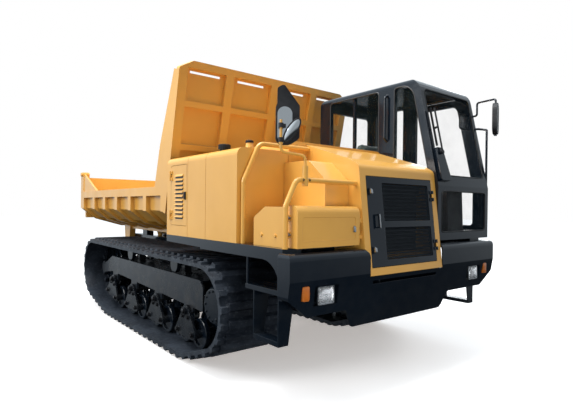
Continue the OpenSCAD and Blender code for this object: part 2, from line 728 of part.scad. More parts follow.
module front_bumper() color(black) homed() difference() {
  union() {
    intersection() {
      along_y(0, bumper_d) bumper_outline();
      difference() {
        along_x(-bumper_x, bumper_x) polygon(bumper_profile(0));
        along_x(-bumper_x + plate_t, bumper_x - plate_t) polygon(bumper_profile(plate_t));
      }
    }
    both_sides() {
      lamp_box(lamp_at, [lamp_w, lamp_w] / 2 + [78, 24]);
      lamp_box(signal_at, signal_size / 2 + [12, 12]);
      for (x = [beam_in, beam_out - plate_t])
        block([x, fold_back - 5, beam_low_z + 20], [x + plate_t, bumper_d, nose_z - 10]);
    }
  }
  block([-560, -1, nose_z - 70], [390, plate_t + 40, nose_z - 40]);
  both_sides() {
    block([lamp_at.x - lamp_w / 2 - 66, -1, lamp_at.y - lamp_w / 2 - 14],
       [lamp_at.x + lamp_w / 2 + 66, pocket_y, lamp_at.y + lamp_w / 2 + 14]);
    along_y(-1, pocket_y) translate(signal_at) square(signal_size + [4, 4], center = true);
  }
}

// Box behind the bumper face round a lamp pocket, cut to the face
module lamp_box(at, half) intersection() {
  block([at.x - half.x, 0, at.y - half.y], [at.x + half.x, pocket_y + plate_t, at.y + half.y]);
  along_x(0, bumper_x) polygon(bumper_profile(0));
}

// Square lamps with a bezel, each on the back of its pocket
module headlamps() color(bright) homed() both_sides() translate([lamp_at.x, 0, lamp_at.y]) {
  along_y(24, 70) difference() {
    polygon(panel([-lamp_w, -lamp_w] / 2, [lamp_w, lamp_w] / 2, 12));
    polygon(panel([-lamp_w + 16, -lamp_w + 16] / 2, [lamp_w - 16, lamp_w - 16] / 2, 8));
  }
  along_y(36, 52) polygon(panel([-lamp_w + 10, -lamp_w + 10] / 2, [lamp_w - 10, lamp_w - 10] / 2, 9));
  along_y(51, pocket_y) circle(r = 40);
}

module turn_signals() color(amber) homed() both_sides() translate([signal_at.x, 0, signal_at.y]) {
  along_y(8, 60) polygon(panel(-signal_size / 2, signal_size / 2, 14));
  along_y(59, pocket_y) circle(r = 22);
}

// Hood: nose, shoulder and rear cover as one open-bottomed sheet shell
nose_tan = tan(nose_lean);
nose_top_z = deck_z + nose_h;
nose_back = (nose_top_z - nose_z) * nose_tan;
hood_z = deck_z + hood_h;
hood_end_y = deck_l - 40;
hood_low_z = deck_z - 90;
cover_x = deck_w / 2 - house_w - door_gap;
shoulder_x = hood_right + shoulder_w;
shoulder_z = deck_z + shoulder_h;
grille_x = (hood_left - hood_right) / 2;
grille_low = 66;

// Nose profile, drawn in by the sheet thickness t and opened downward by d
function nose_profile(t, d) = rounded([
  [t - d * nose_tan, nose_z - d], [nose_back + t, nose_top_z], [nose_back + 114 + t / 2, nose_top_z + 60 - t],
  [hood_rise_y + t / 3, hood_z - t], [hood_end_y - t, hood_z - t], [hood_end_y - t, hood_low_z - d],
  [bumper_d - t, hood_low_z - d], [bumper_d - t, nose_z - d]],
  [0, 70, 60, 120, 40, 0, 0, 0]);
function shoulder_profile(t, d) = rounded([
  [shoulder_y + t, deck_z - d], [shoulder_y + t, shoulder_z - shoulder_slope - t / 2],
  [shoulder_y + 214 + t / 2, shoulder_z - t], [house_y + 30, shoulder_z - t], [house_y + 30, deck_z - d]],
  [0, 40, 90, 0, 0]);
function cover_outline(t, d) = rounded([
  [-cover_x + t, deck_z - d], [hood_left - t, deck_z - d], [hood_left - t, hood_z - t], [-cover_x + t, hood_z - t]],
  [0, 0, 60, 60]);

// The nose is cut back round the bumper's notch, whose upper right corner is rounded
module hood_solid(t, d) {
  difference() {
    along_x(-hood_right + t, hood_left - t) polygon(nose_profile(t, d));
    along_y(-60, bumper_d + 5 + t) polygon(rounded([
      [-hood_right - 60, nose_z - 60], [-notch_x + 5 + t, nose_z - 60],
      [-notch_x + 5 + t, bumper_top_z + 5 + t], [-hood_right - 60, bumper_top_z + 5 + t]],
      [0, 0, notch_r + 5 + t, 0]));
  }
  along_x(-shoulder_x + t, -hood_right + 20) polygon(shoulder_profile(t, d));
  along_y(house_y + t, hood_end_y - t) polygon(cover_outline(t, d));
}

module leaned_nose() translate([0, 0, nose_z]) rotate([-nose_lean, 0, 0]) children();
module engine_hood() color(yellow) homed() {
  difference() {
    hood_solid(0, 0);
    hood_solid(sheet_t, 1);
    leaned_nose()
      block([grille_x - grille_w / 2, -20, grille_low], [grille_x + grille_w / 2, 80, grille_low + grille_h]);
    block([-shoulder_x - 1, house_y - 3, deck_z - 1], [-cover_x, house_y + 31, shoulder_z + 1]);
    for (y = bracket_y)
      block([-hood_right - 1, y - 3, hood_low_z - 2],
        [-hood_right + sheet_t + 1, y + bracket_w + 3, deck_low_z + 2]);
  }
  at_grille_hinges() hinge_eye(40);
  at_cover_hinges() hinge_eye(cover_x0 - hood_right - 10, -6, 6);
}
module at_grille_hinges() leaned_nose() for (k = [0.2, 0.8])
  translate([grille_x + grille_w / 2 - door_gap / 2, -hinge_out, grille_low + k * grille_h]) children();

// Grille door: two barred panels over each other beside a plain band with the handle and two latches
module grille_door() color(black) homed() leaned_nose() translate([grille_x, 0, grille_low]) {
  x = grille_w / 2 - door_gap;
  z0 = door_gap;
  z1 = grille_h - door_gap;
  along_y(0, grille_t) difference() {
    polygon(panel([-x, z0], [x, z1], 10));
    for (w = [[z0 + 55, 0.43 * grille_h], [0.5 * grille_h, z1 - 55]])
      polygon(panel([-x + grille_band, w[0]], [x - 60, w[1]], 14));
  }
  pitch = (z1 - z0 - 110) / grille_bars;
  for (k = [0.5 : grille_bars]) translate([0, 0, z0 + 55 + k * pitch])
    block([-x + grille_band - 5, grille_t / 2 - 6, -5], [x - 55, grille_t / 2 + 6, 5]);
  for (z = [z0 + 120, z1 - 170])
    block([-x + 14, -16, z], [-x + 46, 1, z + 60]);
  for (k = [0.2, 0.8]) translate([grille_w / 2 - door_gap / 2, -hinge_out, k * grille_h]) hinge_pin(36);
  translate([-x + grille_band / 2, 0, grille_h / 2]) {
    for (z = [-60, 50]) block([-8, -34, z], [8, 1, z + 12]);
    block([-8, -34, -60], [8, -22, 62]);
  }
}

// Radiator core between two tanks, standing on the front cross member
module radiator() color(black) homed() {
  x = beam_in - 10;
  core_z = chassis_z - 60;
  block([-x, bumper_d + 60, core_z], [x - 60, bumper_d + 130, core_z + 60]);
  block([-x + 20, bumper_d + 66, core_z + 60], [x - 80, bumper_d + 124, core_z + 700]);
  block([-x, bumper_d + 50, core_z + 700], [x - 60, bumper_d + 140, core_z + 780]);
  for (k = [0 : 13])
    block([-x + 20, bumper_d + 62, core_z + 80 + k * 45], [x - 80, bumper_d + 128, core_z + 92 + k * 45]);
  translate([-x + 150, bumper_d + 95, core_z + 779]) cylinder(r = 32, h = 36);
}

// Engine on four side mounts between the chassis beams
module engine_block() color(steel_grey) homed() {
  y0 = 560;
  y1 = 1420;
  mount_z = chassis_z - 130;
  block([-270, y0, beam_low_z + 60], [270, y1, chassis_z + 300]);
  block([-190, y0 + 30, chassis_z + 299], [150, y1 - 40, chassis_z + 560]);
  block([-150, y0 + 60, chassis_z + 559], [110, y1 - 70, chassis_z + 640]);
  along_y(y1 - 1, y1 + 180) translate([0, mount_z + 60]) circle(r = 250);
  along_y(y0 - 90, y0 + 1) translate([0, chassis_z + 220]) circle(r = 60);
  along_y(y0 - 130, y0 - 89) translate([0, chassis_z + 220]) circle(r = 300);
  along_y(y0 + 80, y1 - 100) translate([-250, chassis_z + 440]) circle(r = 70);
  both_sides() for (y = [y0 + 80, y1 - 180]) block([260, y, mount_z], [beam_in, y + 90, mount_z + 60]);
}

// Side housing: an open-bottomed shell with a rounded outer edge, panel gaps and the louvre door's opening
house_x1 = deck_w / 2;
house_x0 = house_x1 - house_w;
house_z = deck_z + house_h;
door_y1 = deck_l - 101;
door_y0 = door_y1 - louver_door_w;
door_z0 = deck_z + 110;
door_z1 = door_z0 + louver_door_h;
module at_louver_hinges() on_side(RIGHT) for (z = [door_z0 + 110, door_z1 - 110])
  translate([house_x1 + hinge_out, door_y1 - door_gap / 2, z]) rotate(90) children();
module side_housing() color(yellow) homed() {
  on_side(RIGHT) housing_shell();
  at_louver_hinges() hinge_eye(36);
}
module housing_shell() difference() {
  along_y(house_y, deck_l) polygon(rounded(
    [[house_x0, deck_z], [house_x1, deck_z], [house_x1, house_z], [house_x0, house_z]], [0, 0, house_r, 20]));
  along_y(house_y + sheet_t, deck_l - sheet_t) polygon(rounded(
    [[house_x0 + sheet_t, deck_z - 1], [house_x1 - sheet_t, deck_z - 1],
    [house_x1 - sheet_t, house_z - sheet_t], [house_x0 + sheet_t, house_z - sheet_t]],
    [0, 0, house_r - sheet_t, 12]));
  for (y = [house_y + 560, door_y0 - 26])
    along_y(y, y + 5) difference() {
      translate([house_x0 - 1, deck_z]) square([house_w + 2, house_h + 1]);
      polygon(rounded([[house_x0 + 3, deck_z - 1], [house_x1 - 3, deck_z - 1],
        [house_x1 - 3, house_z - 3], [house_x0 + 3, house_z - 3]], [0, 0, house_r - 3, 17]));
    }
  along_x(house_x1 - 3 * sheet_t, house_x1 + 1) polygon(panel([door_y0, door_z0], [door_y1, door_z1], 14));
}

// Louvre door: slots in a sheet, each under a sloped lip
module louver_door() color(yellow) homed() {
  on_side(RIGHT) louver_sheet();
  at_louver_hinges() hinge_pin(36);
}
module louver_sheet() {
  pitch = (louver_door_h - 170) / louver_n;
  y0 = door_y0 + 78;
  y1 = y0 + louver_door_w / 2;
  along_x(house_x1 - sheet_t, house_x1) difference() {
    polygon(panel([door_y0 + door_gap, door_z0 + door_gap], [door_y1 - door_gap, door_z1 - door_gap], 10));
    for (k = [0 : louver_n - 1])
      translate([y0, door_z0 + 86 + k * pitch]) square([y1 - y0, pitch / 3]);
  }
  for (k = [0 : louver_n - 1]) translate([house_x1, 0, door_z0 + 86 + k * pitch])
    along_y(y0, y1) polygon([[-1, pitch / 3], [-1, pitch / 3 + 14], [0, pitch / 3 + 14], [14, 4], [11, 2]]);
  block([house_x1 - 1, door_y0 + 16, door_z0 + 280], [house_x1 + 16, door_y0 + 40, door_z0 + 360]);
}

// Two filler necks with caps on the side housing, a low one and a tall one
module filler_caps() color(black) homed() {
  low = [-house_x1 + 112, house_y + 402];
  tall = [-house_x1 + 371, house_y + 361];
  bar_z(low, 44, house_z, house_z + 20);
  bar_z(low, 56, house_z + 19, house_z + 62);
  bar_z(tall, 42, house_z, house_z + 60);
  bar_z(tall, 33, house_z + 59, house_z + 100);
}

// Tool box beside the hood, open towards its cover
box_x0 = shoulder_x + 5;
box_x1 = deck_w / 2 - 70;
box_y0 = shoulder_y - 8;
cover_y0 = box_y0 - door_gap - cover_d;
cover_x0 = hood_right + 40;
cover_z0 = deck_z + 6;
cover_z1 = deck_z + box_h + 10;
module toolbox() color(yellow) homed() on_side(RIGHT) {
  difference() {
    along_x(box_x0, box_x1) polygon(rounded([
      [box_y0, deck_z], [box_y0 + box_l, deck_z], [box_y0 + box_l, deck_z + box_h - 90],
      [box_y0 + box_l - 160, deck_z + box_h], [box_y0, deck_z + box_h]], [0, 0, 30, 40, 0]));
    along_x(box_x0 + sheet_t, box_x1 - sheet_t) polygon(rounded([
      [box_y0 - 1, deck_z + sheet_t], [box_y0 + box_l - sheet_t, deck_z + sheet_t],
      [box_y0 + box_l - sheet_t, deck_z + box_h - 90 - sheet_t / 2],
      [box_y0 + box_l - 162, deck_z + box_h - sheet_t], [box_y0 - 1, deck_z + box_h - sheet_t]],
      [0, 0, 24, 34, 0]));
  }
  for (y = [box_y0 + 110, box_y0 + 300])
    bar_x([y, deck_z + 90], 14, box_x1 - 1, box_x1 + 10);
}

// Cover with a rounded top edge and a sunk front panel, on a hinge beside the hood
module toolbox_cover() color(yellow) homed() {
  on_side(RIGHT) cover_shell();
  at_cover_hinges() hinge_pin(hinge_out + 1, -6, 6);
}
module cover_shell() {
  difference() {
    along_x(cover_x0, box_x1) polygon(cover_profile(0));
    along_x(cover_x0 + sheet_t, box_x1 - sheet_t) polygon(cover_profile(sheet_t));
    along_y(cover_y0 - 1, cover_y0 + 3)
      polygon(panel([cover_x0 + 50, cover_z0 + 50], [box_x1 - 50, cover_z1 - cover_r - 30], 20));
  }
  for (z = [cover_z0 + 80, cover_z1 - 120])
    block([box_x1 - 1, cover_y0 + cover_d - 70, z], [box_x1 + 14, cover_y0 + cover_d - 10, z + 46]);
}
module at_cover_hinges() on_side(RIGHT) for (z = [cover_z0 + 70, cover_z1 - cover_r - 60])
  translate([cover_x0 - hinge_out, cover_y0 + 20, z]) rotate(180) children();
function cover_profile(t) = rounded([
  [cover_y0 + t, cover_z0 + t], [cover_y0 + cover_d + (t > 0 ? 1 : 0), cover_z0 + t],
  [cover_y0 + cover_d + (t > 0 ? 1 : 0), cover_z1 - t], [cover_y0 + t, cover_z1 - t]],
  [0, 0, 0, cover_r - t]);

// Bent tubes beside the hood, and the stay of the right mirror
tube_d = 42;
rail_y = [150, house_y - 30];
stay_x = -1230;
mirror_post = [-1400, 250];
mirror_post_z = [2108, 2300];
post_d = 22;
module handrails() color(yellow) homed() {
  x = deck_w / 2 - 25;
  bent_tube([[-x, rail_y[0], deck_z], [-x, rail_y[0], deck_z + 331], [-x + 105, rail_y[0], deck_z + 538],
       [-hood_right, rail_y[0], deck_z + 538]], tube_d, 70);
  bent_tube([[-x + 25, rail_y[1], deck_z], [-x + 25, rail_y[1], deck_z + 550], [-x + 188, rail_y[1], deck_z + 890],
       [-hood_right, rail_y[1], deck_z + 890]], tube_d, 90);
  bar_z([stay_x, rail_y[0]], 24, deck_z + 490, deck_z + 650);
  bent_tube([[stay_x, rail_y[0], deck_z + 560], [stay_x, rail_y[0], deck_z + 730],
       [mirror_post.x, mirror_post.y, mirror_post_z[0] - 60],
       [mirror_post.x, mirror_post.y, mirror_post_z[1]]], post_d, 40);
  bar_z(mirror_post, post_d / 2 + 6, mirror_post_z[0], mirror_post_z[0] + 14);
}

// Cab shell: derived values
cab_x1 = cab_x0 + cab_w;
cab_x_mid = cab_x0 + cab_w / 2;
cab_end_y = cab_y + cab_l;
cab_top_z = deck_z + cab_h;
knee_z = deck_z + cab_knee;
screen_h = cab_top_z - knee_z;
screen_tan = cab_lean / screen_h;
screen_a = atan(screen_tan);
rabbet = 14;
lap = 12;

// Side outline of the cab, drawn in by t
function cab_profile(t) =
  let (slip = t / cos(screen_a))
  rounded([
    [cab_y + t, deck_z + t], [cab_y + t, knee_z + (t - slip) / screen_tan],
    [cab_y + cab_lean - t * screen_tan + slip, cab_top_z - t], [cab_end_y - t, cab_top_z - t],
    [cab_end_y - t, deck_z + t]],
    [0, 60, max(190 - t, 20), max(90 - t, 20), 0]);
function cab_section(t) = rounded([
  [cab_x0 + t, deck_z + t], [cab_x1 - t, deck_z + t], [cab_x1 - t, cab_top_z - t], [cab_x0 + t, cab_top_z - t]],
  [0, 0, max(70 - t, 15), max(70 - t, 15)]);
module cab_solid(t) intersection() {
  along_x(cab_x0 + t, cab_x1 - t) polygon(cab_profile(t));
  along_y(cab_y, cab_end_y) polygon(cab_section(t));
}

// Window outlines, each grown by m: side windows as [y, z], front and back windows as [x, z]
function screen_y(z) = cab_y + (z - knee_z) * screen_tan;
function quarter_window(m) = rounded([
  [cab_y + 95 - m, deck_z + 330 - m], [cab_y + 560 + m, deck_z + 330 - m],
  [cab_y + 560 + m, cab_top_z - 75 + m], [screen_y(cab_top_z - 75) + 95 - m, cab_top_z - 75 + m],
  [cab_y + 95 - m, knee_z + 10]],
  [30 + m, 30 + m, 30 + m, 170 + m, 60]);
function rear_side_window(m) =
  panel([cab_y + 790 - m, deck_z + 660 - m], [cab_end_y - 190 + m, cab_top_z - 75 + m], 40 + m);
function left_rear_window(m) =
  panel([cab_y + 1160 - m, deck_z + 660 - m], [cab_end_y - 130 + m, cab_top_z - 75 + m], 40 + m);
function lower_screen(m) =
  panel([cab_x0 + 70 - m, deck_z + 90 - m], [cab_x1 - 70 + m, knee_z - 60 + m], 30 + m);
function back_window(m) =
  panel([cab_x0 + 80 - m, deck_z + 760 - m], [cab_x1 - 80 + m, cab_top_z - 140 + m], 40 + m);
// The upper windscreen is measured along its lean, from the knee
function upper_screen(m) =
  panel([cab_x0 + 65 - m, 120 - m], [cab_x1 - 65 + m, (screen_h - 130) / cos(screen_a) + m], 45 + m);
module leaned_screen() translate([0, cab_y, knee_z]) rotate([-screen_a, 0, 0]) children();

// Pane or rabbet in each window: depth d0 to d1 in from the cab's outer face
module windows(m, d0, d1) {
  along_x(cab_x0 + d0, cab_x0 + d1) polygon(quarter_window(m));
  along_x(cab_x0 + d0, cab_x0 + d1) polygon(rear_side_window(m));
  along_x(cab_x1 - d1, cab_x1 - d0) polygon(left_rear_window(m));
  along_y(cab_y + d0, cab_y + d1) polygon(lower_screen(m));
  along_y(cab_end_y - d1, cab_end_y - d0) polygon(back_window(m));
  leaned_screen() along_y(d0, d1) polygon(upper_screen(m));
}

// Door opening and door outlines, drawn in by t
door_y = [cab_y + 90, cab_y + 90 + door_l];
function door_outline(t) =
  let (slip = t / cos(screen_a))
  rounded([
    [door_y[0] + t, deck_z + 40 + t], [door_y[1] - t, deck_z + 40 + t], [door_y[1] - t, cab_top_z - 80 - t],
    [door_y[0] + (cab_top_z - 80 - t - knee_z) * screen_tan + slip, cab_top_z - 80 - t],
    [door_y[0] + t, knee_z + (t - slip) / screen_tan]],
    [max(50 - t, 8), max(50 - t, 8), max(60 - t, 8), max(120 - t, 8), 50]);

wiper_at = [cab_x0 + 108, 350];
motor_d = 16;
motor_t = 34;
module cab_frame() color(black) homed() {
  difference() {
    cab_solid(0);
    cab_solid(post_t);
    windows(0, -1, post_t + 20);
    windows(lap, -1, rabbet);
    along_x(cab_x1 - post_t - 20, cab_x1 + 1) polygon(door_outline(0));
  }
  leaned_screen() along_y(-motor_t, 1) difference() {
    polygon(rounded([[cab_x0 + 35, 50], [cab_x0 + 215, 50], wiper_at + [44, 50],
      [cab_x0 + 35, wiper_at.y + 50]], 20));
    translate(wiper_at) circle(r = motor_d / 2 + pin_gap);
  }
  divider = (rear_side_window(0)[0].x + cab_end_y - 190) / 2;
  block([cab_x0 + rabbet + pane_gap, divider - 16, deck_z + 650], [cab_x0 + post_t, divider + 16, cab_top_z - 65]);
  cab_rails();
  at_door_hinges() hinge_eye(40);
}

// Grab bars and the arm of the left mirror
mirror_turn = [-35, 20];
mirror_size = [176, 50];
left_post = [cab_x1 - 68,
  mirror_front + (mirror_size.x * sin(mirror_turn[1]) + mirror_size.y * cos(mirror_turn[1])) / 2];
left_post_z = [cab_top_z - 560, cab_top_z - 160];
module cab_rails() {
  x = cab_x1 + 11;
  top_z = deck_z + 1240;
  bent_tube([[cab_x1 - 40, cab_y + 30, deck_z + 165], [x, cab_y + 30, deck_z + 195], [x, cab_y + 30, top_z],
       [x, screen_y(top_z) - 20, top_z + 22], [cab_x1 - 20, screen_y(top_z) + 30, top_z + 22]], 26, 20);
  foot_z = left_post_z[1] - 150;
  bent_tube([[cab_x1 - 30, screen_y(foot_z) + 15, foot_z], [cab_x1 - 30, screen_y(foot_z) - 60, foot_z],
       [cab_x1 - 30, screen_y(foot_z) - 60, left_post_z[1]], [left_post.x, left_post.y, left_post_z[1]],
       [left_post.x, left_post.y, left_post_z[0]]], post_d, 25);
  bar_z(left_post, post_d / 2 + 6, left_post_z[0] - 14, left_post_z[0]);
  bent_tube([[cab_x0 + 5, cab_y + 665, hood_z + 110], [cab_x0 - 40, cab_y + 665, hood_z + 140],
       [cab_x0 - 40, cab_y + 665, cab_top_z - 160], [cab_x0 + 5, cab_y + 665, cab_top_z - 130]], 26, 25);
}

module cab_glass() color(clear_glass) homed()
  windows(lap - pane_gap, rabbet - glass_t, rabbet);

// Door with a deep window, hung on its rear edge
door_t = 40;
function door_window(m) =
  let (z0 = deck_z + 130 - m, z1 = cab_top_z - 160 + m)
  rounded([
    [door_y[0] + 75 - m, z0], [door_y[1] - 75 + m, z0], [door_y[1] - 75 + m, z1],
    [door_y[0] + 75 - m + (z1 - knee_z) * screen_tan, z1], [door_y[0] + 75 - m, knee_z]],
    [40, 40, 50, 100, 40]);
module cab_door() color(black) homed() {
  difference() {
    along_x(cab_x1 - door_t, cab_x1) polygon(door_outline(door_gap));
    along_x(cab_x1 - door_t - 1, cab_x1 + 1) polygon(door_window(0));
    along_x(cab_x1 - rabbet, cab_x1 + 1) polygon(door_window(lap));
  }
  block([cab_x1 - 1, door_y[0] + 24, knee_z - 160], [cab_x1 + 14, door_y[0] + 56, knee_z - 20]);
  block([cab_x1 - door_t - 20, door_y[0] + 30, knee_z - 170], [cab_x1 - door_t + 1, door_y[0] + 60, knee_z - 20]);
  at_door_hinges() hinge_pin(40);
}
module at_door_hinges() for (z = [deck_z + 300, deck_z + 1250])
  translate([cab_x1 + hinge_out, door_y[1] - door_gap / 2, z]) rotate(90) children();

module door_glass() color(clear_glass) homed()
  along_x(cab_x1 - rabbet, cab_x1 - rabbet + glass_t) polygon(door_window(lap - pane_gap));

// Wiper arm parked beside the right cab post, on the shaft of the motor box
wiper_l = 480;
module wiper() color(black) homed() leaned_screen() translate([wiper_at.x, 0, wiper_at.y]) {
  along_y(-motor_t - 26, 0) circle(r = motor_d / 2);
  along_y(-motor_t - 26, -motor_t - 0.3) circle(r = 22);
  block([-9, -motor_t - 24, 0], [9, -motor_t - 13, wiper_l]);
  block([-7, -motor_t - 14, wiper_l - 220], [7, -8, wiper_l - 200]);
  block([-6, -12, wiper_l - 400], [6, rabbet - glass_t - 1, wiper_l + 20]);
}

// Seat pad: a slab of width w, length l and height h with rounded corners and top edges
module seat_pad(w, l, h) intersection() {
  along_x(-w / 2, w / 2) polygon(panel([0, 0], [l, h], [14, 14, 48, 48]));
  along_y(0, l) polygon(panel([-w / 2, 0], [w / 2, h], [14, 14, 42, 42]));
  along_z(0, h) polygon(panel([-w / 2, 0], [w / 2, l], 62));
}

seat_w = 500;
seat_l = 480;
seat_t = 130;
seat_y = cab_y + 760;
seat_z = deck_z + seat_h - seat_t;
recline = 12;
module in_seat_back()
  translate([cab_x_mid, seat_y + seat_l + 40, seat_z + seat_t + 2]) rotate([90 - recline, 0, 0]) children();
module seat_cushion() color(seat_green) homed()
  translate([cab_x_mid, seat_y, seat_z]) seat_pad(seat_w, seat_l, seat_t);
module seat_back() color(seat_green) homed() in_seat_back() seat_pad(seat_w - 30, seat_back_h, seat_t - 10);

// Seat pedestal with its back plate, side consoles with lever ears and a front column
console_x = 335;
console_z = deck_z + 600;
lever_y = cab_y + 800;
lever_z = console_z + 26;
module control_console() color(black) homed() {
  floor_z = deck_z + post_t;
  block([cab_x_mid - 190, seat_y + 40, floor_z], [cab_x_mid + 190, seat_y + seat_l - 20, seat_z]);
  in_seat_back() block([-150, 60, -18], [150, seat_back_h - 160, 0]);
  in_seat_back() block([-60, -200, -18], [60, 70, 0]);
  block([cab_x_mid - 80, seat_y + seat_l - 30, seat_z - 100], [cab_x_mid + 80, seat_y + seat_l + 30, seat_z - 30]);
  for (x = [cab_x_mid - console_x, cab_x_mid + console_x]) {
    along_x(x - 65, x + 65) polygon(rounded([
      [seat_y - 60, floor_z + 200], [seat_y + 60, floor_z], [seat_y + seat_l, floor_z],
      [seat_y + seat_l, console_z], [seat_y - 60, console_z]], [30, 0, 0, 30, 40]));
    for (e = [-24, 14]) difference() {
      along_x(x + e, x + e + 10) {
        translate([lever_y, lever_z]) circle(r = 18);
        translate([lever_y - 18, console_z - 2]) square([36, lever_z - console_z + 2]);
      }
      bar_x([lever_y, lever_z], 8 + pin_gap, x - 40, x + 40);
    }
  }
  along_x(cab_x_mid - 150, cab_x_mid + 150) polygon(rounded([
    [cab_y + 100, floor_z], [cab_y + 220, floor_z], [cab_y + 260, floor_z + 480],
    [cab_y + 170, floor_z + 560], [cab_y + 120, floor_z + 480]], [0, 0, 20, 20, 20]));
}

module lever(x, l) homed() translate([x, lever_y, lever_z]) {
  bar_x([0, 0], 8, -24, 24);
  bar_x([0, 0], 13, -12, 12);
  rotate([8, 0, 0]) {
    cylinder(r = 7, h = l);
    translate([0, 0, l - 40]) cylinder(r = 17, h = 70);
    translate([0, 0, l + 30]) sphere(r = 17);
  }
}
module travel_lever() color(bright) lever(cab_x_mid - console_x, 230);
module dump_lever() color(bright) lever(cab_x_mid + console_x, 190);

// Right mirror: a hooded head with a tall glass and a tilted oval one under it, clamped to the stay's post
function oval(at, a, b, turn) = [for (k = [0 : 12 : 348]) at + turned([a * cos(k), b * sin(k)], turn)];
module right_mirror() color(black) homed()
  translate([mirror_post.x, mirror_post.y, mirror_post_z[0]]) rotate(mirror_turn[0]) {
  difference() {
    union() {
      for (k = [16, 130]) {
        bar_z([0, 0], 21, k, k + 36);
        block([-12, 10, k + 4], [40, 30, k + 32]);
      }
      along_y(26, 70) polygon(rounded([
        [-40, 0], [70, 0], [150, 50], [150, 310], [24, 480], [-28, 450], [-28, 330], [-40, 300]],
        [55, 60, 40, 30, 24, 20, 10, 10]));
    }
    bar_z([0, 0], post_d / 2 + pin_gap, 0, 600);
    along_y(25, 30) polygon(panel([-28, 14], [92, 304], 59));
  }
  along_y(4, 27) polygon(oval([88, 112], 108, 42, 57));
}

// Left mirror: a rounded head turned towards the seat on the end of its arm
module left_mirror() color(black) homed()
  translate([left_post.x, left_post.y, left_post_z[0]]) rotate(mirror_turn[1])
  difference() {
    along_y(-mirror_size.y / 2, mirror_size.y / 2)
      polygon(panel([-mirror_size.x / 2, 2], [mirror_size.x / 2, 352], 80));
    bar_z([0, 0], post_d / 2 + pin_gap, -10, 400);
  }

// Dump bed: derived values
bed_y0 = deck_l + bed_gap;
floor_z = chassis_z + floor_h;
rail_z = floor_z + side_h;
fold_z = rail_z - side_drop;
skin_x = bed_w / 2 - rib_d;
rib_x = bed_w / 2;
floor_x = skin_x - 195;
gate_d = 75;
tub_y1 = overall_l - gate_d;
rib_pitch = (overall_l - 775 - bed_y0 - 61) / 5;
sill_x = [beam_out - 60, leg_in + 68];
gate_pin_r = 25;
gate_at = [overall_l - 80, floor_z + 750];
head_h = headboard_h / cos(headboard_lean);
board_y = rib_d + bed_t;

// Trough section, drawn in by t
function tub_section(t) = [
  [-skin_x + t, rail_z + t], [-skin_x + t, fold_z + t / 3], [-floor_x + t / 3, floor_z - bed_t + t],
  [floor_x - t / 3, floor_z - bed_t + t], [skin_x - t, fold_z + t / 3], [skin_x - t, rail_z + t]];
// Outer rib with its arm under the floor, on the left side
rib_section = [
  [sill_x[0], floor_z - 170], [sill_x[1] + 20, floor_z - 170], [floor_x + 25, floor_z - 40],
  [rib_x, fold_z - 10], [rib_x, rail_z - rail_h + 1], [skin_x - 1, rail_z - rail_h + 1], [skin_x - 1, fold_z],
  [floor_x - 1, floor_z - bed_t + 1], [sill_x[0], floor_z - bed_t + 1]];
head_outline = rounded([
  [-floor_x, -60], [floor_x, -60], [rib_x, fold_z - floor_z - 30], [rib_x, head_h - 95],
  [rib_x - 172, head_h], [-rib_x + 172, head_h], [-rib_x, head_h - 95], [-rib_x, fold_z - floor_z - 30]],
  [0, 0, 0, 40, 40, 40, 40, 0]);
module leaned_head() translate([0, bed_y0, floor_z]) rotate([headboard_lean, 0, 0]) children();

module dump_bed() color(yellow) homed() {
  difference() {
    union() {
      along_y(bed_y0 - 200, tub_y1) difference() {
        polygon(tub_section(0));
        polygon(tub_section(bed_t));
      }
      both_sides() {
        block([skin_x - 1, bed_y0 - 200, rail_z - rail_h], [rib_x, overall_l, rail_z]);
        rear_post();
        head_gusset();
        for (k = [0 : 5]) along_y(rib_y(k) - rib_w / 2, rib_y(k) + rib_w / 2) polygon(rib_section);
        along_y(tub_y1 - rib_w, tub_y1) polygon(rib_section);
        bed_sill();
      }
    }
    leaned_head() block([-rib_x - 1, -600, -200], [rib_x + 1, rib_d, head_h]);
    bar_x(gate_at, gate_pin_r + pin_gap, -rib_x - 1, rib_x + 1);
  }
  headboard();
  hoist_bracket();
}
function rib_y(k) = bed_y0 + 61 + k * rib_pitch;

// Ribbed headboard with a long slot in each bay under its top rail
module headboard() leaned_head() {
  along_y(rib_d - 1, board_y) difference() {
    polygon(head_outline);
    for (x = [-990, -340, 340, 990]) translate([x, head_h - 125]) square([400, 26], center = true);
  }
  along_y(0, rib_d) intersection() {
    polygon(head_outline);
    union() {
      for (x = [-rib_x + 55, -680, 0, 680, rib_x - 55])
        translate([x - rib_w / 2, -100]) square([rib_w, head_h + 100]);
      for (z = [890, 1390]) translate([-rib_x, z]) square([2 * rib_x, 70]);
      translate([-rib_x, head_h - 85]) square([2 * rib_x, 85]);
      translate([-rib_x, -60]) square([2 * rib_x, 130]);
    }
  }
}

// Side plate that braces the headboard on the rail
module head_gusset() along_x(rib_x - 20, rib_x) polygon([
  [bed_y0 - (head_h - 110) * sin(headboard_lean) + rib_d, floor_z + (head_h - 110) * cos(headboard_lean)],
  [bed_y0 - 200, floor_z + 1000], [bed_y0 - 100, rail_z - 5], [bed_y0 + 295, rail_z - 5],
  [bed_y0 + 140, rail_z + 505], [bed_y0 - 238, floor_z + 1790]]);

// Rear post with its brace along the rail and the bore of the tailgate pin
module rear_post() {
  along_x(skin_x, rib_x) polygon(rounded([
    [overall_l - 160, fold_z], [overall_l, fold_z], [overall_l, floor_z + post_h],
    [overall_l - 160, floor_z + post_h]],
    [0, 0, 30, 30]));
  along_x(rib_x - 40, rib_x - 10) polygon([
    [overall_l - 910, rail_z - 5], [overall_l - 150, rail_z - 5], [overall_l - 150, floor_z + post_h - 30]]);
  bar_x([overall_l - 80, floor_z + post_h - 40], 34, rib_x - 1, rib_x + 24);
}

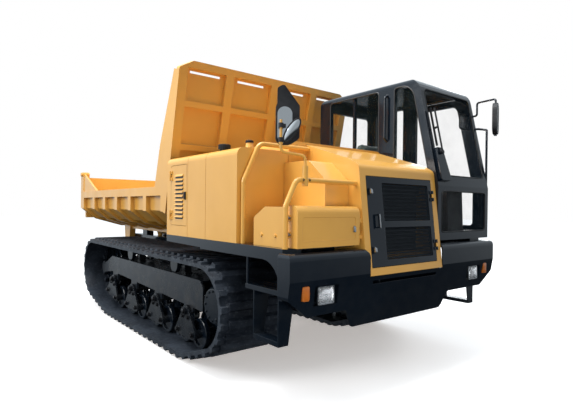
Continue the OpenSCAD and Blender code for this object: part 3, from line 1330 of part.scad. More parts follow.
// Sill on the chassis pads with the leg that turns on the hinge pin
module bed_sill() {
  block([sill_x[0], bed_y0 + 40, chassis_z + sill_h], [sill_x[1], hinge_at.x + 158, floor_z - bed_t + 1]);
  along_x(leg_in, leg_in + leg_w) difference() {
    polygon(wrap([[hinge_at.x, hinge_at.y, hinge_r + 62], [hinge_at.x + 118, floor_z - 60, 40],
           [hinge_at.x - 113, floor_z - 60, 40]], 0, 12));
    translate(hinge_at) circle(r = hinge_r + pin_gap);
  }
}

// Plates and shaft under the floor that the hoist rods push on
module hoist_bracket() {
  both_sides() along_x(beam_in - 60, beam_in - 20)
    polygon(wrap([[rod_at.x, rod_at.y, 70], [rod_at.x + 160, floor_z - 60, 48],
      [rod_at.x - 160, floor_z - 60, 48]], 0, 12));
  bar_x(rod_at, hoist_pin_r, -beam_in + 25, beam_in - 25);
}

// Tailgate hung on two pins at its top corners
module tailgate() color(yellow) homed() {
  x = skin_x - 14;
  y0 = overall_l - gate_d + 5;
  y1 = overall_l - 10;
  z0 = floor_z - 20;
  z1 = floor_z + 700;
  block([-x, y0, z0], [x, y0 + bed_t, z1]);
  for (z = [z0, (z0 + z1) / 2 - 40, z1 - 80]) block([-x, y0 + bed_t - 1, z], [x, y1, z + 80]);
  for (k = [-2 : 2]) block([k * (x - 45) / 2 - 45, y0 + bed_t - 1, z0], [k * (x - 45) / 2 + 45, y1, z1]);
  both_sides() {
    along_x(x - 40, x) polygon(wrap([[gate_at.x, gate_at.y, 44], [y1 - 35, z1 - 140, 35]], 0, 12));
    bar_x(gate_at, gate_pin_r, x - 1, rib_x - 8);
  }
}

// Hoist cylinders: barrels on the chassis shaft and rods on the bed shaft
hoist_len = norm(rod_at - barrel_at);
hoist_a = atan2(barrel_at.x - rod_at.x, rod_at.y - barrel_at.y);
barrel_l = hoist_len - 70;
module along_hoist() for (x = [-hoist_x, hoist_x])
  translate([x, barrel_at.x, barrel_at.y]) rotate([hoist_a, 0, 0]) children();
module hoist_barrels() color(black) homed() along_hoist() difference() {
  union() {
    bar_x([0, 0], hoist_pin_r + 27, -55, 55);
    translate([0, 0, 40]) cylinder(r = hoist_rod_r + 25, h = barrel_l - 40);
    translate([0, 0, barrel_l - 50]) cylinder(r = hoist_rod_r + 32, h = 50);
  }
  bar_x([0, 0], hoist_pin_r + pin_gap, -60, 60);
  translate([0, 0, 72]) cylinder(r = hoist_rod_r + pin_gap, h = hoist_len);
}

module hoist_rods() color(bright) homed() along_hoist() difference() {
  union() {
    translate([0, 0, 80]) cylinder(r = hoist_rod_r, h = hoist_len - 80);
    bar_x([0, hoist_len], hoist_pin_r + 25, -50, 50);
  }
  bar_x([0, hoist_len], hoist_pin_r + pin_gap, -80, 80);
}

// Drawing
chassis_frame();
track_frames();
bogie_rockers();
track_belt(RIGHT);  // right_track_belt
track_belt(LEFT);  // left_track_belt
sprocket(RIGHT);  // right_sprocket
sprocket(LEFT);  // left_sprocket
idler(RIGHT);  // right_idler
idler(LEFT);  // left_idler
for (i = ROLLERS) road_roller(RIGHT, i);
for (i = ROLLERS) road_roller(LEFT, i);
for (i = CARRIERS) carrier_roller(RIGHT, i);
for (i = CARRIERS) carrier_roller(LEFT, i);
deck_platform();
boarding_steps();
front_bumper();
headlamps();
turn_signals();
engine_hood();
grille_door();
engine_block();
radiator();
side_housing();
louver_door();
filler_caps();
toolbox();
toolbox_cover();
handrails();
cab_frame();
cab_glass();
cab_door();
door_glass();
wiper();
seat_cushion();
seat_back();
control_console();
travel_lever();
dump_lever();
right_mirror();
left_mirror();
dump_bed();
tailgate();
hoist_barrels();
hoist_rods();
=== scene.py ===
"""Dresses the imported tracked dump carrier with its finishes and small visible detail.

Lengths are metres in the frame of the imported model: +X is the machine's left, +Y its rear, +Z up.
"""

from __future__ import annotations

import json
import logging
import math
from dataclasses import dataclass, field
from enum import Enum
from typing import Protocol, Sequence

import bmesh
import bpy
import numpy as np
from mathutils import Matrix

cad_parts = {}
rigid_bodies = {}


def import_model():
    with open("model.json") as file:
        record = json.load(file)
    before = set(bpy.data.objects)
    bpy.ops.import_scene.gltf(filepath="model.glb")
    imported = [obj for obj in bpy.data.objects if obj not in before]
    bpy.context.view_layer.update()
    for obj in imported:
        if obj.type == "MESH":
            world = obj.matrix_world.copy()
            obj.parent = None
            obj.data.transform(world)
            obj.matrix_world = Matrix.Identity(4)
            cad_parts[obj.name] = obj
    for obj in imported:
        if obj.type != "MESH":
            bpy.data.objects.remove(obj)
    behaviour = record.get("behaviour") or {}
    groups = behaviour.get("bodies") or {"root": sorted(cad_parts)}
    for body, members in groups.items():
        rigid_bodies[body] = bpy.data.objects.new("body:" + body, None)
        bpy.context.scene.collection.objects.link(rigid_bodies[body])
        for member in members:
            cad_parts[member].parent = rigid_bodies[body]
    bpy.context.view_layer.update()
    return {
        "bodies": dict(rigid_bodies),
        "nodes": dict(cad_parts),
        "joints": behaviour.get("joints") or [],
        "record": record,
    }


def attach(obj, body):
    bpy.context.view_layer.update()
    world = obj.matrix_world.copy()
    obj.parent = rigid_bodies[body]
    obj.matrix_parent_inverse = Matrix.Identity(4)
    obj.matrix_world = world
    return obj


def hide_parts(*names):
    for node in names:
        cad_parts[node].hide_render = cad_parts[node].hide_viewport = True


LOG = logging.getLogger("carrier")
Pair = tuple[float, float]
Vec = tuple[float, float, float]
Colour = tuple[float, float, float]
Box = tuple[Pair, Pair]
Socket = bpy.types.NodeSocket

MACHINE = "machine"
FULL_TURN = 2.0 * math.pi
MM_PER_M = 1000.0
EVEN = (1.0, 1.0, 1.0)
UP = (0.0, 0.0, 1.0)
HERE = (0.0, 0.0, 0.0)
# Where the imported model's origin lies on the source's axes, in millimetres
ORIGIN = np.array([0.0, 3047.5, 0.0])
# Points of a mesh that are nearer than this, in metres, are one
MERGE = 1e-6


class Side(Enum):
    """The machine's two sides, each with the sign of X there."""

    RIGHT = -1
    LEFT = 1


class Slot(Enum):
    """Material slots of the record."""

    YELLOW = "yellow_paint"
    BLACK = "black_paint"
    GREY = "grey_paint"
    IRON = "engine_iron"
    RUBBER = "track_rubber"
    LAMP = "lamp_chrome"
    ROD = "rod_chrome"
    LEVER = "lever_steel"
    AMBER = "amber_lens"
    PANE = "cab_pane"
    CLOTH = "seat_cloth"
    PLASTIC = "black_plastic"


# Node graphs


@dataclass(frozen=True)
class Mottle:
    """Noise of some waves per metre and octaves, and the band of its value that counts."""

    scale: float
    detail: float
    low: float
    high: float


@dataclass(frozen=True)
class Grain:
    """Bumps of noise: waves per metre, octaves, strength from 0 to 1 and depth in metres."""

    scale: float
    detail: float
    strength: float
    depth: float


class Graph:
    """A material's node tree with short ways to add and link nodes."""

    NOISE_ROUGHNESS = 0.55
    BEVEL_SAMPLES = 4
    # The dot product of the rounded and the true normal, from flat to sharp
    EDGE_BAND = (0.995, 0.86)
    # Sockets of the Mix node in its colour mode
    MIX_FACTOR, MIX_A, MIX_B, MIX_RESULT = 0, 6, 7, 2

    def __init__(self, name: str) -> None:
        """Start a material with one Principled shader.

        Args:
            name: The material's name.
        """
        self.material = bpy.data.materials.new(name)
        self.material.use_nodes = True
        self.tree = self.material.node_tree
        self.shader = self.tree.nodes["Principled BSDF"]
        self.coords = self.tree.nodes.new("ShaderNodeTexCoord").outputs["Object"]

    def add(self, kind: str, **settings: object) -> bpy.types.Node:
        """Add a node and set its plain attributes.

        Args:
            kind: Blender's node type name.
            **settings: Attributes to set on the node.

        Returns:
            The new node.
        """
        node = self.tree.nodes.new(kind)
        for key, value in settings.items():
            setattr(node, key, value)
        return node

    def plug(self, socket: Socket, value: object) -> None:
        """Link an output to an input socket, or set a plain value on it."""
        if isinstance(value, Socket):
            self.tree.links.new(value, socket)
        else:
            socket.default_value = value

    def feed(self, node: bpy.types.Node, **values: object) -> bpy.types.Node:
        """Set or link a node's inputs by name, with underscores for spaces.

        Args:
            node: The node to feed.
            **values: An output socket to link, or a plain value to set.

        Returns:
            The same node.
        """
        for key, value in values.items():
            self.plug(node.inputs[key.replace("_", " ")], value)
        return node

    def noise(self, scale: float, detail: float, stretch: Vec = EVEN) -> Socket:
        """Give a noise value on object coordinates.

        Args:
            scale: Waves per metre.
            detail: Octaves of finer noise.
            stretch: Scale of the three axes.

        Returns:
            The noise's value socket.
        """
        place = self.feed(self.add("ShaderNodeMapping"), Vector=self.coords, Scale=stretch)
        node = self.feed(self.add("ShaderNodeTexNoise"), Vector=place.outputs["Vector"],
                         Scale=scale, Detail=detail, Roughness=self.NOISE_ROUGHNESS)
        return node.outputs["Fac"]

    def band(self, value: Socket, low: float, high: float, to: Pair = (0.0, 1.0)) -> Socket:
        """Stretch the part of a value from low to high over a range, clamped.

        Args:
            value: The value to stretch.
            low: The value that gives the range's start.
            high: The value that gives the range's end.
            to: The range.

        Returns:
            The stretched value.
        """
        node = self.add("ShaderNodeMapRange", clamp=True)
        self.feed(node, Value=value, From_Min=low, From_Max=high, To_Min=to[0], To_Max=to[1])
        return node.outputs["Result"]

    def mottle(self, m: Mottle, to: Pair = (0.0, 1.0), stretch: Vec = EVEN) -> Socket:
        """Give a mottle's noise with its band stretched over a range."""
        return self.band(self.noise(m.scale, m.detail, stretch), m.low, m.high, to)

    def height(self) -> Socket:
        """Give the height over the ground."""
        return self.feed(self.add("ShaderNodeSeparateXYZ"), Vector=self.coords).outputs["Z"]

    def times(self, a: Socket, b: Socket) -> Socket:
        """Multiply two values."""
        node = self.add("ShaderNodeMath", operation="MULTIPLY")
        for socket, value in zip(node.inputs, (a, b)):
            self.plug(socket, value)
        return node.outputs["Value"]

    def mix(self, factor: Socket, a: Socket | Colour, b: Socket | Colour) -> Socket:
        """Mix two colours by a factor.

        Args:
            factor: 0 gives a, 1 gives b.
            a: A colour or a colour socket.
            b: A colour or a colour socket.

        Returns:
            The mixed colour.
        """
        node = self.add("ShaderNodeMix", data_type="RGBA")
        self.plug(node.inputs[self.MIX_FACTOR], factor)
        for number, value in ((self.MIX_A, a), (self.MIX_B, b)):
            self.plug(node.inputs[number], value if isinstance(value, Socket) else (*value, 1.0))
        return node.outputs[self.MIX_RESULT]

    def relief(self, height: Socket, strength: float, depth: float) -> None:
        """Bump the shader's normal, after any bump that it has already.

        Args:
            height: The height value.
            strength: Strength from 0 to 1.
            depth: Depth in metres.
        """
        node = self.add("ShaderNodeBump")
        self.feed(node, Height=height, Strength=strength, Distance=depth)
        links = self.shader.inputs["Normal"].links
        if links:
            self.tree.links.new(links[0].from_socket, node.inputs["Normal"])
        self.tree.links.new(node.outputs["Normal"], self.shader.inputs["Normal"])

    def grain(self, grain: Grain) -> None:
        """Bump the shader's normal with noise."""
        self.relief(self.noise(grain.scale, grain.detail), grain.strength, grain.depth)

    def waves(self, direction: str, **values: float) -> Socket:
        """Give a sine wave along an axis of the object coordinates."""
        node = self.add("ShaderNodeTexWave", wave_type="BANDS", bands_direction=direction,
                        wave_profile="SIN")
        return self.feed(node, Vector=self.coords, **values).outputs["Fac"]

    def surface(self, **values: object) -> None:
        """Set or link the shader's own inputs."""
        self.feed(self.shader, **values)

    def soft_edges(self, radius: float) -> Socket:
        """Round the shading of sharp edges and give a mask of them.

        The mask is 1 where the rounded normal leaves the true one.

        Args:
            radius: Edge radius in metres.

        Returns:
            The mask.
        """
        bevel = self.feed(self.add("ShaderNodeBevel", samples=self.BEVEL_SAMPLES), Radius=radius)
        self.plug(self.shader.inputs["Normal"], bevel.outputs["Normal"])
        geometry = self.add("ShaderNodeNewGeometry")
        dot = self.add("ShaderNodeVectorMath", operation="DOT_PRODUCT")
        self.plug(dot.inputs[0], bevel.outputs["Normal"])
        self.plug(dot.inputs[1], geometry.outputs["Normal"])
        return self.band(dot.outputs["Value"], *self.EDGE_BAND)


def dimmed(colour: Colour, share: float) -> Colour:
    """Give a share of a colour."""
    return tuple(share * c for c in colour)


# Finishes


class Finish(Protocol):
    """What has a name and can build a material."""

    @property
    def name(self) -> str:
        """The material's name."""

    def build(self) -> bpy.types.Material:
        """Make the material."""


@dataclass(frozen=True)
class Paint:
    """Sprayed paint: orange peel, faint tone changes and dust that settles low down."""

    name: str
    colour: Colour
    shade: Colour
    roughness: Pair = (0.28, 0.42)
    coat: float = 0.35
    coat_roughness: float = 0.12
    dust: Colour = (0.30, 0.24, 0.17)
    dust_share: float = 0.25
    dust_top: float = 1.1
    dust_low: float = 0.05
    edge: float = 0.004
    rubbed: float = 0.5
    rubbed_shade: float = 0.5
    rubbed_lift: float = 0.04
    shine: float = 0.5
    wear: Mottle = Mottle(26.0, 5.0, 0.5, 0.7)
    tones: Mottle = Mottle(1.7, 4.0, 0.35, 0.68)
    specks: Mottle = Mottle(9.0, 6.0, 0.42, 0.66)
    gloss: Mottle = Mottle(5.0, 4.0, 0.3, 0.7)
    peel: Grain = Grain(420.0, 2.0, 0.05, 0.0006)
    dents: Grain = Grain(2.3, 1.0, 0.05, 0.004)

    def build(self) -> bpy.types.Material:
        """Make the material: slow tones, dust by height, rubbed edges, peel as a fine bump."""
        g = Graph(self.name)
        edges = g.times(g.soft_edges(self.edge), g.mottle(self.wear, (0.0, self.rubbed)))
        tone = g.mix(g.mottle(self.tones), self.colour, self.shade)
        low = g.band(g.height(), self.dust_top, self.dust_low, (0.0, self.dust_share))
        dusty = g.mix(g.times(low, g.mottle(self.specks)), tone, self.dust)
        bare = tuple(c + self.rubbed_lift for c in dimmed(self.colour, self.rubbed_shade))
        g.surface(Base_Color=g.mix(edges, dusty, bare),
                  Roughness=g.mottle(self.gloss, self.roughness), Coat_Weight=self.coat,
                  Coat_Roughness=self.coat_roughness, Specular_IOR_Level=self.shine)
        g.grain(self.peel)
        g.grain(self.dents)
        return g.material


@dataclass(frozen=True)
class MouldedRubber:
    """Moulded rubber with a dull bloom and pale scuffs."""

    name: str = "track_rubber"
    colour: Colour = (0.010, 0.0138, 0.021)
    bloom: Colour = (0.029, 0.037, 0.050)
    scuff: Colour = (0.090, 0.101, 0.118)
    roughness: Pair = (0.42, 0.60)
    shine: float = 0.5
    scuff_share: float = 0.55
    scuff_run: Vec = (1.0, 0.35, 1.0)
    blooms: Mottle = Mottle(6.0, 5.0, 0.38, 0.66)
    scuffs: Mottle = Mottle(38.0, 5.0, 0.55, 0.72)
    gloss: Mottle = Mottle(20.0, 3.0, 0.3, 0.7)
    pits: Grain = Grain(95.0, 4.0, 0.25, 0.0025)
    skin: Grain = Grain(520.0, 2.0, 0.12, 0.0008)

    def build(self) -> bpy.types.Material:
        """Make the material: two noises for bloom and scuffs, a fine pitted bump."""
        g = Graph(self.name)
        bloom = g.mix(g.mottle(self.blooms), self.colour, self.bloom)
        scuff = g.mottle(self.scuffs, (0.0, self.scuff_share), self.scuff_run)
        g.surface(Base_Color=g.mix(scuff, bloom, self.scuff),
                  Roughness=g.mottle(self.gloss, self.roughness), Specular_IOR_Level=self.shine)
        g.grain(self.pits)
        g.grain(self.skin)
        return g.material


@dataclass(frozen=True)
class Metal:
    """Bare or plated metal with faint handling marks along one axis."""

    name: str
    colour: Colour
    roughness: Pair
    run: Vec = EVEN
    shade: float = 0.8
    marks: Mottle = Mottle(60.0, 5.0, 0.3, 0.7)
    relief: Pair = (0.04, 0.0004)

    def build(self) -> bpy.types.Material:
        """Make the material: stretched noise gives marks in colour, roughness and bump."""
        g = Graph(self.name)
        band = (self.marks.low, self.marks.high)
        marks = g.noise(self.marks.scale, self.marks.detail, self.run)
        g.surface(Base_Color=g.mix(g.band(marks, *band), self.colour,
                                   dimmed(self.colour, self.shade)),
                  Metallic=1.0, Roughness=g.band(marks, *band, self.roughness))
        g.relief(marks, *self.relief)
        return g.material


@dataclass(frozen=True)
class CastMetal:
    """Painted casting with a sandy skin."""

    name: str = "engine_iron"
    colour: Colour = (0.060, 0.065, 0.070)
    shade: Colour = (0.030, 0.032, 0.034)
    roughness: Pair = (0.45, 0.7)
    metallic: float = 0.3
    stains: Mottle = Mottle(5.0, 5.0, 0.4, 0.65)
    gloss: Mottle = Mottle(14.0, 3.0, 0.3, 0.7)
    sand: Grain = Grain(240.0, 4.0, 0.3, 0.001)

    def build(self) -> bpy.types.Material:
        """Make the material: coarse noise for oil stains and a sandy bump."""
        g = Graph(self.name)
        g.surface(Base_Color=g.mix(g.mottle(self.stains), self.colour, self.shade),
                  Roughness=g.mottle(self.gloss, self.roughness), Metallic=self.metallic)
        g.grain(self.sand)
        return g.material


@dataclass(frozen=True)
class Pane:
    """Tinted safety glass with a trace of dust."""

    name: str = "cab_pane"
    tint: Colour = (0.055, 0.085, 0.088)
    veil: Pair = (0.02, 0.06)
    ior: float = 1.45
    roughness: float = 0.01
    dust: Mottle = Mottle(5.0, 5.0, 0.4, 0.8)

    def build(self) -> bpy.types.Material:
        """Make the material: a thin tinted veil over a clear pane, uneven with dust."""
        g = Graph(self.name)
        g.surface(Base_Color=(*self.tint, 1.0), IOR=self.ior, Roughness=self.roughness,
                  Alpha=g.mottle(self.dust, self.veil))
        return g.material


@dataclass(frozen=True)
class Lens:
    """Moulded lamp lens with fine vertical flutes."""

    name: str
    colour: Colour
    transmission: float
    flute: float = 0.008
    shade: float = 0.86
    roughness: float = 0.08
    ior: float = 1.49
    coat: float = 0.5
    tones: Mottle = Mottle(30.0, 3.0, 0.4, 0.7)
    relief: Pair = (0.35, 0.002)
    # Radians per metre of the wave texture at scale 1
    wave_rate: float = 20.0

    def build(self) -> bpy.types.Material:
        """Make the material: a sine of X bumps the lens into flutes."""
        g = Graph(self.name)
        wave = g.waves("X", Scale=1.0 / (self.wave_rate * self.flute) * math.pi, Distortion=0.0)
        tone = g.mix(g.mottle(self.tones), self.colour, dimmed(self.colour, self.shade))
        g.surface(Base_Color=tone, Roughness=self.roughness, IOR=self.ior, Coat_Weight=self.coat,
                  Transmission_Weight=self.transmission)
        g.relief(wave, *self.relief)
        return g.material


@dataclass(frozen=True)
class Plastic:
    """Grained moulded plastic."""

    name: str = "black_plastic"
    colour: Colour = (0.014, 0.014, 0.016)
    worn: Colour = (0.045, 0.045, 0.047)
    roughness: Pair = (0.42, 0.6)
    shine: float = 0.25
    cells_per_m: float = 700.0
    rubs: Mottle = Mottle(4.0, 5.0, 0.5, 0.75)
    gloss: Mottle = Mottle(12.0, 3.0, 0.3, 0.7)
    relief: Pair = (0.12, 0.0005)

    def build(self) -> bpy.types.Material:
        """Make the material: cell noise grain with slightly paler rubbed patches."""
        g = Graph(self.name)
        cells = g.add("ShaderNodeTexVoronoi", feature="F1")
        g.feed(cells, Vector=g.coords, Scale=self.cells_per_m)
        g.surface(Base_Color=g.mix(g.mottle(self.rubs), self.colour, self.worn),
                  Roughness=g.mottle(self.gloss, self.roughness), Specular_IOR_Level=self.shine)
        g.relief(cells.outputs["Distance"], *self.relief)
        return g.material


@dataclass(frozen=True)
class WovenCloth:
    """Plain-woven seat cloth: two crossed sine waves make the threads."""

    name: str = "seat_cloth"
    colour: Colour = (0.060, 0.095, 0.090)
    thread: Colour = (0.110, 0.150, 0.140)
    threads_per_m: float = 420.0
    # Waves per metre of the wave texture at scale 1
    wave_rate: float = 3.2
    wander: float = 0.6
    roughness: float = 0.9
    sheen: float = 0.35
    sheen_roughness: float = 0.5
    mottling: Mottle = Mottle(11.0, 5.0, 0.35, 0.7)
    mottled: Pair = (0.25, 1.0)
    relief: Pair = (0.35, 0.0012)

    def build(self) -> bpy.types.Material:
        """Make the material: warp and weft as waves on object coordinates, with sheen."""
        g = Graph(self.name)
        warp, weft = (g.waves(direction, Scale=self.threads_per_m / self.wave_rate,
                              Distortion=self.wander, Detail=1.0)
                      for direction in ("X", "DIAGONAL"))
        weave = g.times(warp, weft)
        threads = g.times(weave, g.mottle(self.mottling, self.mottled))
        g.surface(Base_Color=g.mix(threads, self.colour, self.thread), Roughness=self.roughness,
                  Sheen_Weight=self.sheen, Sheen_Roughness=self.sheen_roughness)
        g.relief(weave, *self.relief)
        return g.material


@dataclass(frozen=True)
class MirrorGlass:
    """Silvered glass with a faint ripple."""

    name: str = "mirror_glass"
    colour: Colour = (0.86, 0.88, 0.89)
    roughness: Pair = (0.02, 0.09)
    haze: Mottle = Mottle(9.0, 3.0, 0.4, 0.8)
    ripple: Grain = Grain(3.0, 1.0, 0.03, 0.002)

    def build(self) -> bpy.types.Material:
        """Make the material: bright metal, nearly smooth."""
        g = Graph(self.name)
        g.surface(Base_Color=(*self.colour, 1.0), Metallic=1.0,
                  Roughness=g.mottle(self.haze, self.roughness))
        g.grain(self.ripple)
        return g.material


FINISHES = {
    Slot.YELLOW: Paint("yellow_paint", (0.77, 0.400, 0.076), (0.71, 0.360, 0.064),
                       dust_share=0.12, dust_top=1.5),
    Slot.BLACK: Paint("black_paint", (0.0030, 0.0064, 0.0120), (0.0045, 0.0086, 0.0150),
                      (0.08, 0.17), 0.15, dust=(0.06, 0.06, 0.058), dust_share=0.16,
                      dust_top=1.4, shine=0.44),
    Slot.GREY: Paint("grey_paint", (0.015, 0.0195, 0.0265), (0.011, 0.0142, 0.0195),
                     (0.22, 0.36), 0.1, dust_share=0.15, shine=0.4),
    Slot.IRON: CastMetal(),
    Slot.RUBBER: MouldedRubber(),
    Slot.LAMP: Metal("lamp_chrome", (0.86, 0.87, 0.88), (0.05, 0.14)),
    Slot.ROD: Metal("rod_chrome", (0.80, 0.81, 0.82), (0.06, 0.16), (1.0, 1.0, 0.2)),
    Slot.LEVER: Metal("lever_steel", (0.52, 0.53, 0.54), (0.25, 0.4), (1.0, 1.0, 0.1)),
    Slot.AMBER: Lens("amber_lens", (0.72, 0.20, 0.025), 0.25),
    Slot.PANE: Pane(),
    Slot.CLOTH: WovenCloth(),
    Slot.PLASTIC: Plastic(),
}
# Dark wire of the grille door; also the colour of the strips that paint shade in the louvre slots
GRILLE_WIRE_AND_SLOT_SHADE = Metal("grille_wire", (0.068, 0.076, 0.086), (0.40, 0.55))
PLATED = Metal("plated_steel", (0.58, 0.59, 0.61), (0.14, 0.28))
CLEAR_LENS = Lens("clear_lens", (0.94, 0.95, 0.96), 0.9, 0.012)
MIRROR = MirrorGlass()
SEAL = MouldedRubber("seal_rubber", (0.010, 0.010, 0.011), (0.020, 0.020, 0.021),
                     (0.030, 0.029, 0.028))
OILED_BOLT = Metal("oiled_bolt", (0.06, 0.06, 0.065), (0.30, 0.45))
GEAR_PAINT = Paint("running_gear_paint", (0.0065, 0.0090, 0.0130), (0.0105, 0.0130, 0.0170),
                   (0.16, 0.32), 0.1, dust=(0.09, 0.085, 0.08), dust_share=0.2, dust_top=0.9,
                   shine=0.45)
RADIATOR_CORE = CastMetal("radiator_core", (0.012, 0.012, 0.013), (0.007, 0.007, 0.008))
NODE_FINISHES = {"radiator": RADIATOR_CORE, "bogie_rockers": GEAR_PAINT}


@dataclass
class Wardrobe:
    """Every finish made once, and the way to put it on nodes and pieces."""

    made: dict[str, bpy.types.Material] = field(default_factory=dict)

    def get(self, finish: Finish) -> bpy.types.Material:
        """Give a finish's material, made at its first use.

        Args:
            finish: The finish.

        Returns:
            The material.
        """
        if finish.name not in self.made:
            self.made[finish.name] = finish.build()
        return self.made[finish.name]

    def dress_nodes(self, frame: dict) -> None:
        """Put each CAD node's slot finish on it.
        """
        slots = {s["node"]: Slot(s["material_slot"]) for s in frame["record"]["subparts"]}
        for node, slot in slots.items():
            self.wear(frame["nodes"][node], NODE_FINISHES.get(node, FINISHES[slot]))

    def wear(self, piece: bpy.types.Object, finish: Finish) -> None:
        """Make a finish a piece's only material."""
        piece.data.materials.clear()
        piece.data.materials.append(self.get(finish))


# Shapes: every maker works in millimetres on the machine's own axes


@dataclass
class Shell:
    """A surface: points (n, 3) and four-cornered faces (k, 4)."""

    points: np.ndarray
    faces: np.ndarray

    @staticmethod
    def grid(points: np.ndarray, wrap_u: bool = False, wrap_v: bool = False) -> "Shell":
        """Join neighbouring points of a (u, v, 3) grid by faces.

        Args:
            points: The grid.
            wrap_u: Whether the last row joins the first.
            wrap_v: Whether the last column joins the first.

        Returns:
            The surface.
        """
        index = np.arange(points.shape[0] * points.shape[1]).reshape(points.shape[:2])
        if wrap_u:
            index = np.vstack([index, index[:1]])
        if wrap_v:
            index = np.hstack([index, index[:, :1]])
        corners = (index[:-1, :-1], index[1:, :-1], index[1:, 1:], index[:-1, 1:])
        return Shell(points.reshape(-1, 3), np.stack(corners, -1).reshape(-1, 4))

    @staticmethod
    def joined(shells: Sequence["Shell"]) -> "Shell":
        """Put several surfaces into one."""
        starts = np.cumsum([0] + [len(s.points) for s in shells[:-1]])
        return Shell(np.vstack([s.points for s in shells]),
                     np.vstack([s.faces + o for s, o in zip(shells, starts)]))

    def moved(self, axes: np.ndarray, origin: Sequence[float]) -> "Shell":
        """Take local points to the machine: points times the rows of axes, plus the origin."""
        return Shell(self.points @ np.asarray(axes, float) + np.asarray(origin, float), self.faces)

    def scaled(self, factors: Vec) -> "Shell":
        """Stretch the surface along its axes."""
        return Shell(self.points * np.asarray(factors, float), self.faces)

    def copied(self, origins: Sequence[Vec] | np.ndarray) -> "Shell":
        """Repeat the surface at each of the (c, 3) origins."""
        origins = np.asarray(origins, float)
        steps = np.arange(len(origins)) * len(self.points)
        return Shell((self.points[None] + origins[:, None]).reshape(-1, 3),
                     (self.faces[None] + steps[:, None, None]).reshape(-1, 4))


# A lathe's flutes are cut where its radius is over this share of the widest
WIDE_SHARE = 0.9
# A weld's radius ripples between shares of its size, with so many points to a ripple
RIPPLE_LOW, RIPPLE_RISE, RIPPLE_POINTS = 0.86, 0.22, 3
# The fewest points along a weld
BEAD_POINTS = 6
# Axes as rows X, Y and Z: a shape that faces +Z is turned to face that way
LEVEL = np.eye(3)
FACING_FRONT = np.array([[1.0, 0.0, 0.0], [0.0, 0.0, 1.0], [0.0, -1.0, 0.0]])
FACING_RIGHT = np.array([[0.0, -1.0, 0.0], [0.0, 0.0, 1.0], [-1.0, 0.0, 0.0]])
FACING_LEFT = np.array([[0.0, 1.0, 0.0], [0.0, 0.0, 1.0], [1.0, 0.0, 0.0]])
FACING_REAR = np.array([[-1.0, 0.0, 0.0], [0.0, 0.0, 1.0], [0.0, 1.0, 0.0]])


def leaned(degrees: float) -> np.ndarray:
    """Give axes turned back about X by an angle, as rows X, Y and Z."""
    c, s = math.cos(math.radians(degrees)), math.sin(math.radians(degrees))
    return np.array([[1.0, 0.0, 0.0], [0.0, c, -s], [0.0, s, c]])


def turned(degrees: float) -> np.ndarray:
    """Give axes turned about Z by an angle, as rows X, Y and Z."""
    c, s = math.cos(math.radians(degrees)), math.sin(math.radians(degrees))
    return np.array([[c, s, 0.0], [-s, c, 0.0], [0.0, 0.0, 1.0]])


def signed_power(values: np.ndarray, power: float) -> np.ndarray:
    """Raise sizes to a power and keep their signs."""
    return np.sign(values) * np.abs(values) ** power


def pillow(half: Vec, power: float = 0.25, rows: int = 14, sides: int = 28) -> Shell:
    """Make a rounded block.

    x = a C(v) C(u), y = b C(v) S(u), z = c S(v), with C and S powers of cosine and sine.

    Args:
        half: Half sizes a, b and c.
        power: 1 gives an ellipsoid, less gives squarer edges.
        rows: Points from pole to pole.
        sides: Points round the Z axis.

    Returns:
        The closed surface round the origin.
    """
    v = np.linspace(-math.pi / 2, math.pi / 2, rows)[None, :]
    u = np.linspace(0.0, FULL_TURN, sides, endpoint=False)[:, None]
    belt = signed_power(np.cos(v), power)
    points = np.stack(np.broadcast_arrays(half[0] * belt * signed_power(np.cos(u), power),
                                          half[1] * belt * signed_power(np.sin(u), power),
                                          half[2] * signed_power(np.sin(v), power)), -1)
    return Shell.grid(points, wrap_u=True)


def lathe(profile: Sequence[Pair], sides: int, lobes: int = 0, lobe_d: float = 0.0) -> Shell:
    """Turn a profile about Z.

    x = r cos u, y = r sin u, z = h, with r grown by lobe_d cos(lobes u) where it is wide.

    Args:
        profile: Pairs of radius and height from the bottom to the top.
        sides: Points round the axis.
        lobes: Grip flutes round the rim.
        lobe_d: Depth of a flute.

    Returns:
        The surface, closed where the radius is 0.
    """
    r, h = np.asarray(profile, float).T
    u = np.linspace(0.0, FULL_TURN, sides, endpoint=False)[:, None]
    radius = r[None] + lobe_d * np.cos(lobes * u) * (r[None] > WIDE_SHARE * r.max())
    points = np.stack(np.broadcast_arrays(radius * np.cos(u), radius * np.sin(u), h[None]), -1)
    return Shell.grid(points, wrap_u=True)


def carried(path: np.ndarray, section: np.ndarray, up: Vec, closed: bool = False,
            swell: np.ndarray | float = 1.0) -> Shell:
    """Carry a section along a path.

    point = path + swell (a side + b top), side = tangent x up, top = side x tangent.

    Args:
        path: Points (n, 3).
        section: Points (m, 2) of the section, counted as (side, top).
        up: A direction that the path never takes.
        closed: Whether the path's end joins its start. An open path gets flat ends.
        swell: The section's scale along the path.

    Returns:
        The closed surface.
    """
    path = np.asarray(path, float)
    ahead = np.roll(path, -1, 0) - np.roll(path, 1, 0) if closed else np.gradient(path, axis=0)
    ahead /= np.linalg.norm(ahead, axis=1, keepdims=True)
    side = np.cross(ahead, np.asarray(up, float))
    side /= np.linalg.norm(side, axis=1, keepdims=True)
    top = np.cross(side, ahead)
    swell = np.broadcast_to(np.asarray(swell, float), (len(path),))[:, None, None]
    ring = swell * (section[None, :, :1] * side[:, None] + section[None, :, 1:] * top[:, None])
    points = path[:, None] + ring
    if not closed:
        ends = np.broadcast_to(path[:, None], points.shape)
        points = np.concatenate([ends[:1], points, ends[-1:]])
    return Shell.grid(points, wrap_u=closed, wrap_v=True)


def round_section(r: float, sides: int = 10) -> np.ndarray:
    """Give a circle's points."""
    u = np.linspace(0.0, FULL_TURN, sides, endpoint=False)
    return r * np.stack([np.cos(u), np.sin(u)], -1)


